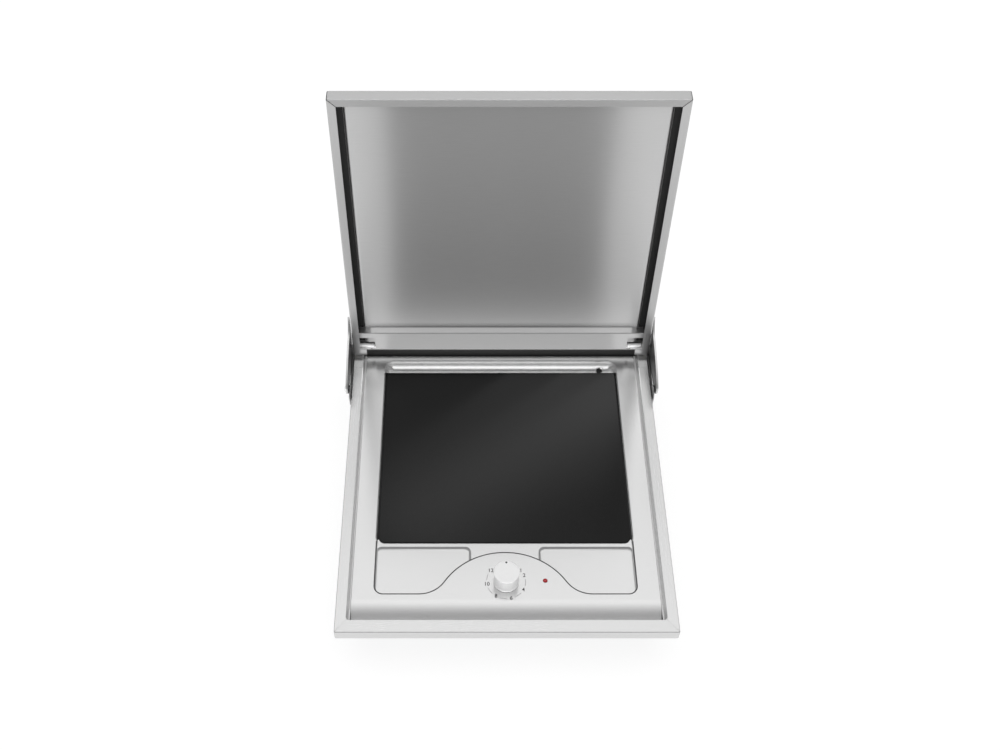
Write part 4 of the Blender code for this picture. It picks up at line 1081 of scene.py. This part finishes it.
def world():
    """Sky of a wide soft overhead light, set a little behind the object, over a grey studio."""
    w = bpy.data.worlds.new("studio")
    bpy.context.scene.world = w
    w.use_nodes = True
    tree = w.node_tree

    def node(kind, operation=None):
        made = tree.nodes.new("ShaderNode" + kind)
        if operation:
            made.operation = operation
        return made

    place, wide = node("TexCoord"), node("Mapping")
    unit, facing = node("VectorMath", "NORMALIZE"), node("VectorMath", "DOT_PRODUCT")
    falloff, glow = node("Math", "MULTIPLY_ADD"), node("Math", "EXPONENT")
    strength = node("Math", "MULTIPLY_ADD")
    wide.inputs["Scale"].default_value = (0.55, 1.0, 1.0)
    tilt = math.radians(SKY_LIGHT_TILT)
    facing.inputs[1].default_value = (0.0, math.cos(tilt), math.sin(tilt))
    falloff.inputs[1].default_value = SKY_SPREAD
    falloff.inputs[2].default_value = -SKY_SPREAD
    strength.inputs[1].default_value = SKY_LIGHT
    strength.inputs[2].default_value = SKY_BASE
    tree.nodes["Background"].inputs["Color"].default_value = (1.0, 1.0, 1.0, 1.0)
    join = tree.links.new
    join(place.outputs["Generated"], wide.inputs["Vector"])
    join(wide.outputs["Vector"], unit.inputs[0])
    join(unit.outputs["Vector"], facing.inputs[0])
    join(facing.outputs["Value"], falloff.inputs[0])
    join(falloff.outputs["Value"], glow.inputs[0])
    join(glow.outputs["Value"], strength.inputs[0])
    join(strength.outputs["Value"], tree.nodes["Background"].inputs["Strength"])


def card(name, location, rotation, size, radiance, receivers):
    """Area light, unseen by the camera, that lights only the pieces it is linked to."""
    light = bpy.data.lights.new(name, "AREA")
    light.shape = "RECTANGLE"
    light.size, light.size_y = size
    light.energy = radiance * math.pi * size[0] * size[1]
    obj = bpy.data.objects.new(name, light)
    obj.location = location
    obj.rotation_euler = [math.radians(angle) for angle in rotation]
    obj.visible_camera = False
    bpy.context.scene.collection.objects.link(obj)
    group = bpy.data.collections.new(name + "_receivers")
    for piece in bpy.data.objects:
        if piece.type == "MESH" and piece.name.startswith(receivers):
            group.objects.link(piece)
    obj.light_linking.receiver_collection = group


# Linked cards: name, place, rotation in degrees, size, radiance, first letters of the pieces
# they light. Their places and strengths are fitted, piece by piece, to the tones wanted with
# the lid open; they stay where they are when the lid turns.
DOWN, UP, UPRIGHT, FACING_BACK = (0, 0, 0), (180, 0, 0), (-90, 0, 0), (90, 0, 0)
FACE_Y = (DATUM.y - 1.4) * MM
SHEEN_RISE, SHEEN_RUN = 393.0, 348.0
SHEEN_TURN = math.degrees(math.atan2(SHEEN_RISE, SHEEN_RUN))
CARDS = (
    ("lid_card", (0, FACE_Y, 0.335), UPRIGHT, (0.51, 0.52), 0.43,
     ("frame_", "hob_deck_skin", "drip_trough_skin", "knob_skin")),
    ("plate_card", (0, FACE_Y - 0.001, 0.335), UPRIGHT, (0.44, 0.50), 0.6, "hot_plate_skin"),
    *((f"plate_sheen_{i}", (0.004, FACE_Y - 0.002 - 0.0005 * i, 0.3435), (-90, SHEEN_TURN, 0),
       (0.66, width), 0.65, "hot_plate_skin") for i, width in enumerate((0.34, 0.20, 0.09))),
    ("trough_card", (0, FACE_Y - 0.002, 0.175), UPRIGHT, (0.40, 0.20), 0.6, "drip_trough_skin"),
    ("trough_sky", (0, 0.10, 0.40), DOWN, (0.50, 0.26), 0.8, "drip_trough_skin"),
    ("hob_card", (0, 0.176, 0.10), FACING_BACK, (0.44, 0.05), 1.6, "lid_liner"),
    ("side_card_0", (-0.382, 0.016, 0.45), FACING_BACK, (0.40, 1.0), 0.54, "lid_liner"),
    ("side_card_2", (0.378, 0.016, 0.45), FACING_BACK, (0.40, 1.0), 0.54, "lid_liner"),
    ("rail_card", (0, 0.16, 0.075), UP, (0.46, 0.14), 0.78,
     ("lid_rear_rail", "lid_rim_left", "lid_rim_right")),
    ("lip_card", (0, DATUM.y * MM + 0.0135, 0.152), UPRIGHT, (0.42, 0.04), 0.58,
     "lid_rear_rail"),
    ("rim_back_card", (0, 0.9, 1.35), (-41.2, 0, 0), (1.2, 0.6), 0.55, "lid_rim_front"),
    ("rim_front_card", (0, -0.38, 1.385), (38, 0, 0), (1.2, 0.36), 4.0, "lid_rim_front"),
    ("hinge_card", (0, 0.06, 0.20), FACING_BACK, (0.62, 0.25), 2.0,
     ("hinge_barrel", "cheek_spacer", "hinge_screw")),
    ("knob_card", (0, -0.50, 0.17), FACING_BACK, (0.6, 0.22), 2.6, "knob_skin"),
    ("fold_card", (0, FACE_Y - 0.004, 0.105), UPRIGHT, (0.44, 0.06), 1.4,
     ("frame_left", "frame_right")),
    ("gap_card", (0, -0.10, 0.90), DOWN, (1.2, 1.2), 0.9, "deck_sealant"),
)


def camera():
    cam = bpy.data.cameras.new("camera")
    cam.sensor_fit = "HORIZONTAL"
    cam.sensor_width = 36.0
    cam.lens = 43.93
    cam.shift_x = 0.034
    cam.clip_start = 0.01
    obj = bpy.data.objects.new("camera", cam)
    obj.location = (-0.0567, -1.0457, 1.6027)
    obj.rotation_euler = (math.radians(39.1), 0.0, 0.0)
    bpy.context.scene.collection.objects.link(obj)
    bpy.context.scene.camera = obj
    bpy.context.scene.view_settings.view_transform = "Standard"


frame_members()
hob_deck()
edge_line()
gap_fillings()
plate_and_seal()
knob()
pilot_lens()
dial_print()
lid_rims()
lid_sheets()
lid_rear_rail()
for name, side in (("left", -1), ("right", 1)):
    hinge_side(name, side)
finish_kept_nodes()
floor()
world()
for entry in CARDS:
    card(*entry)
camera()
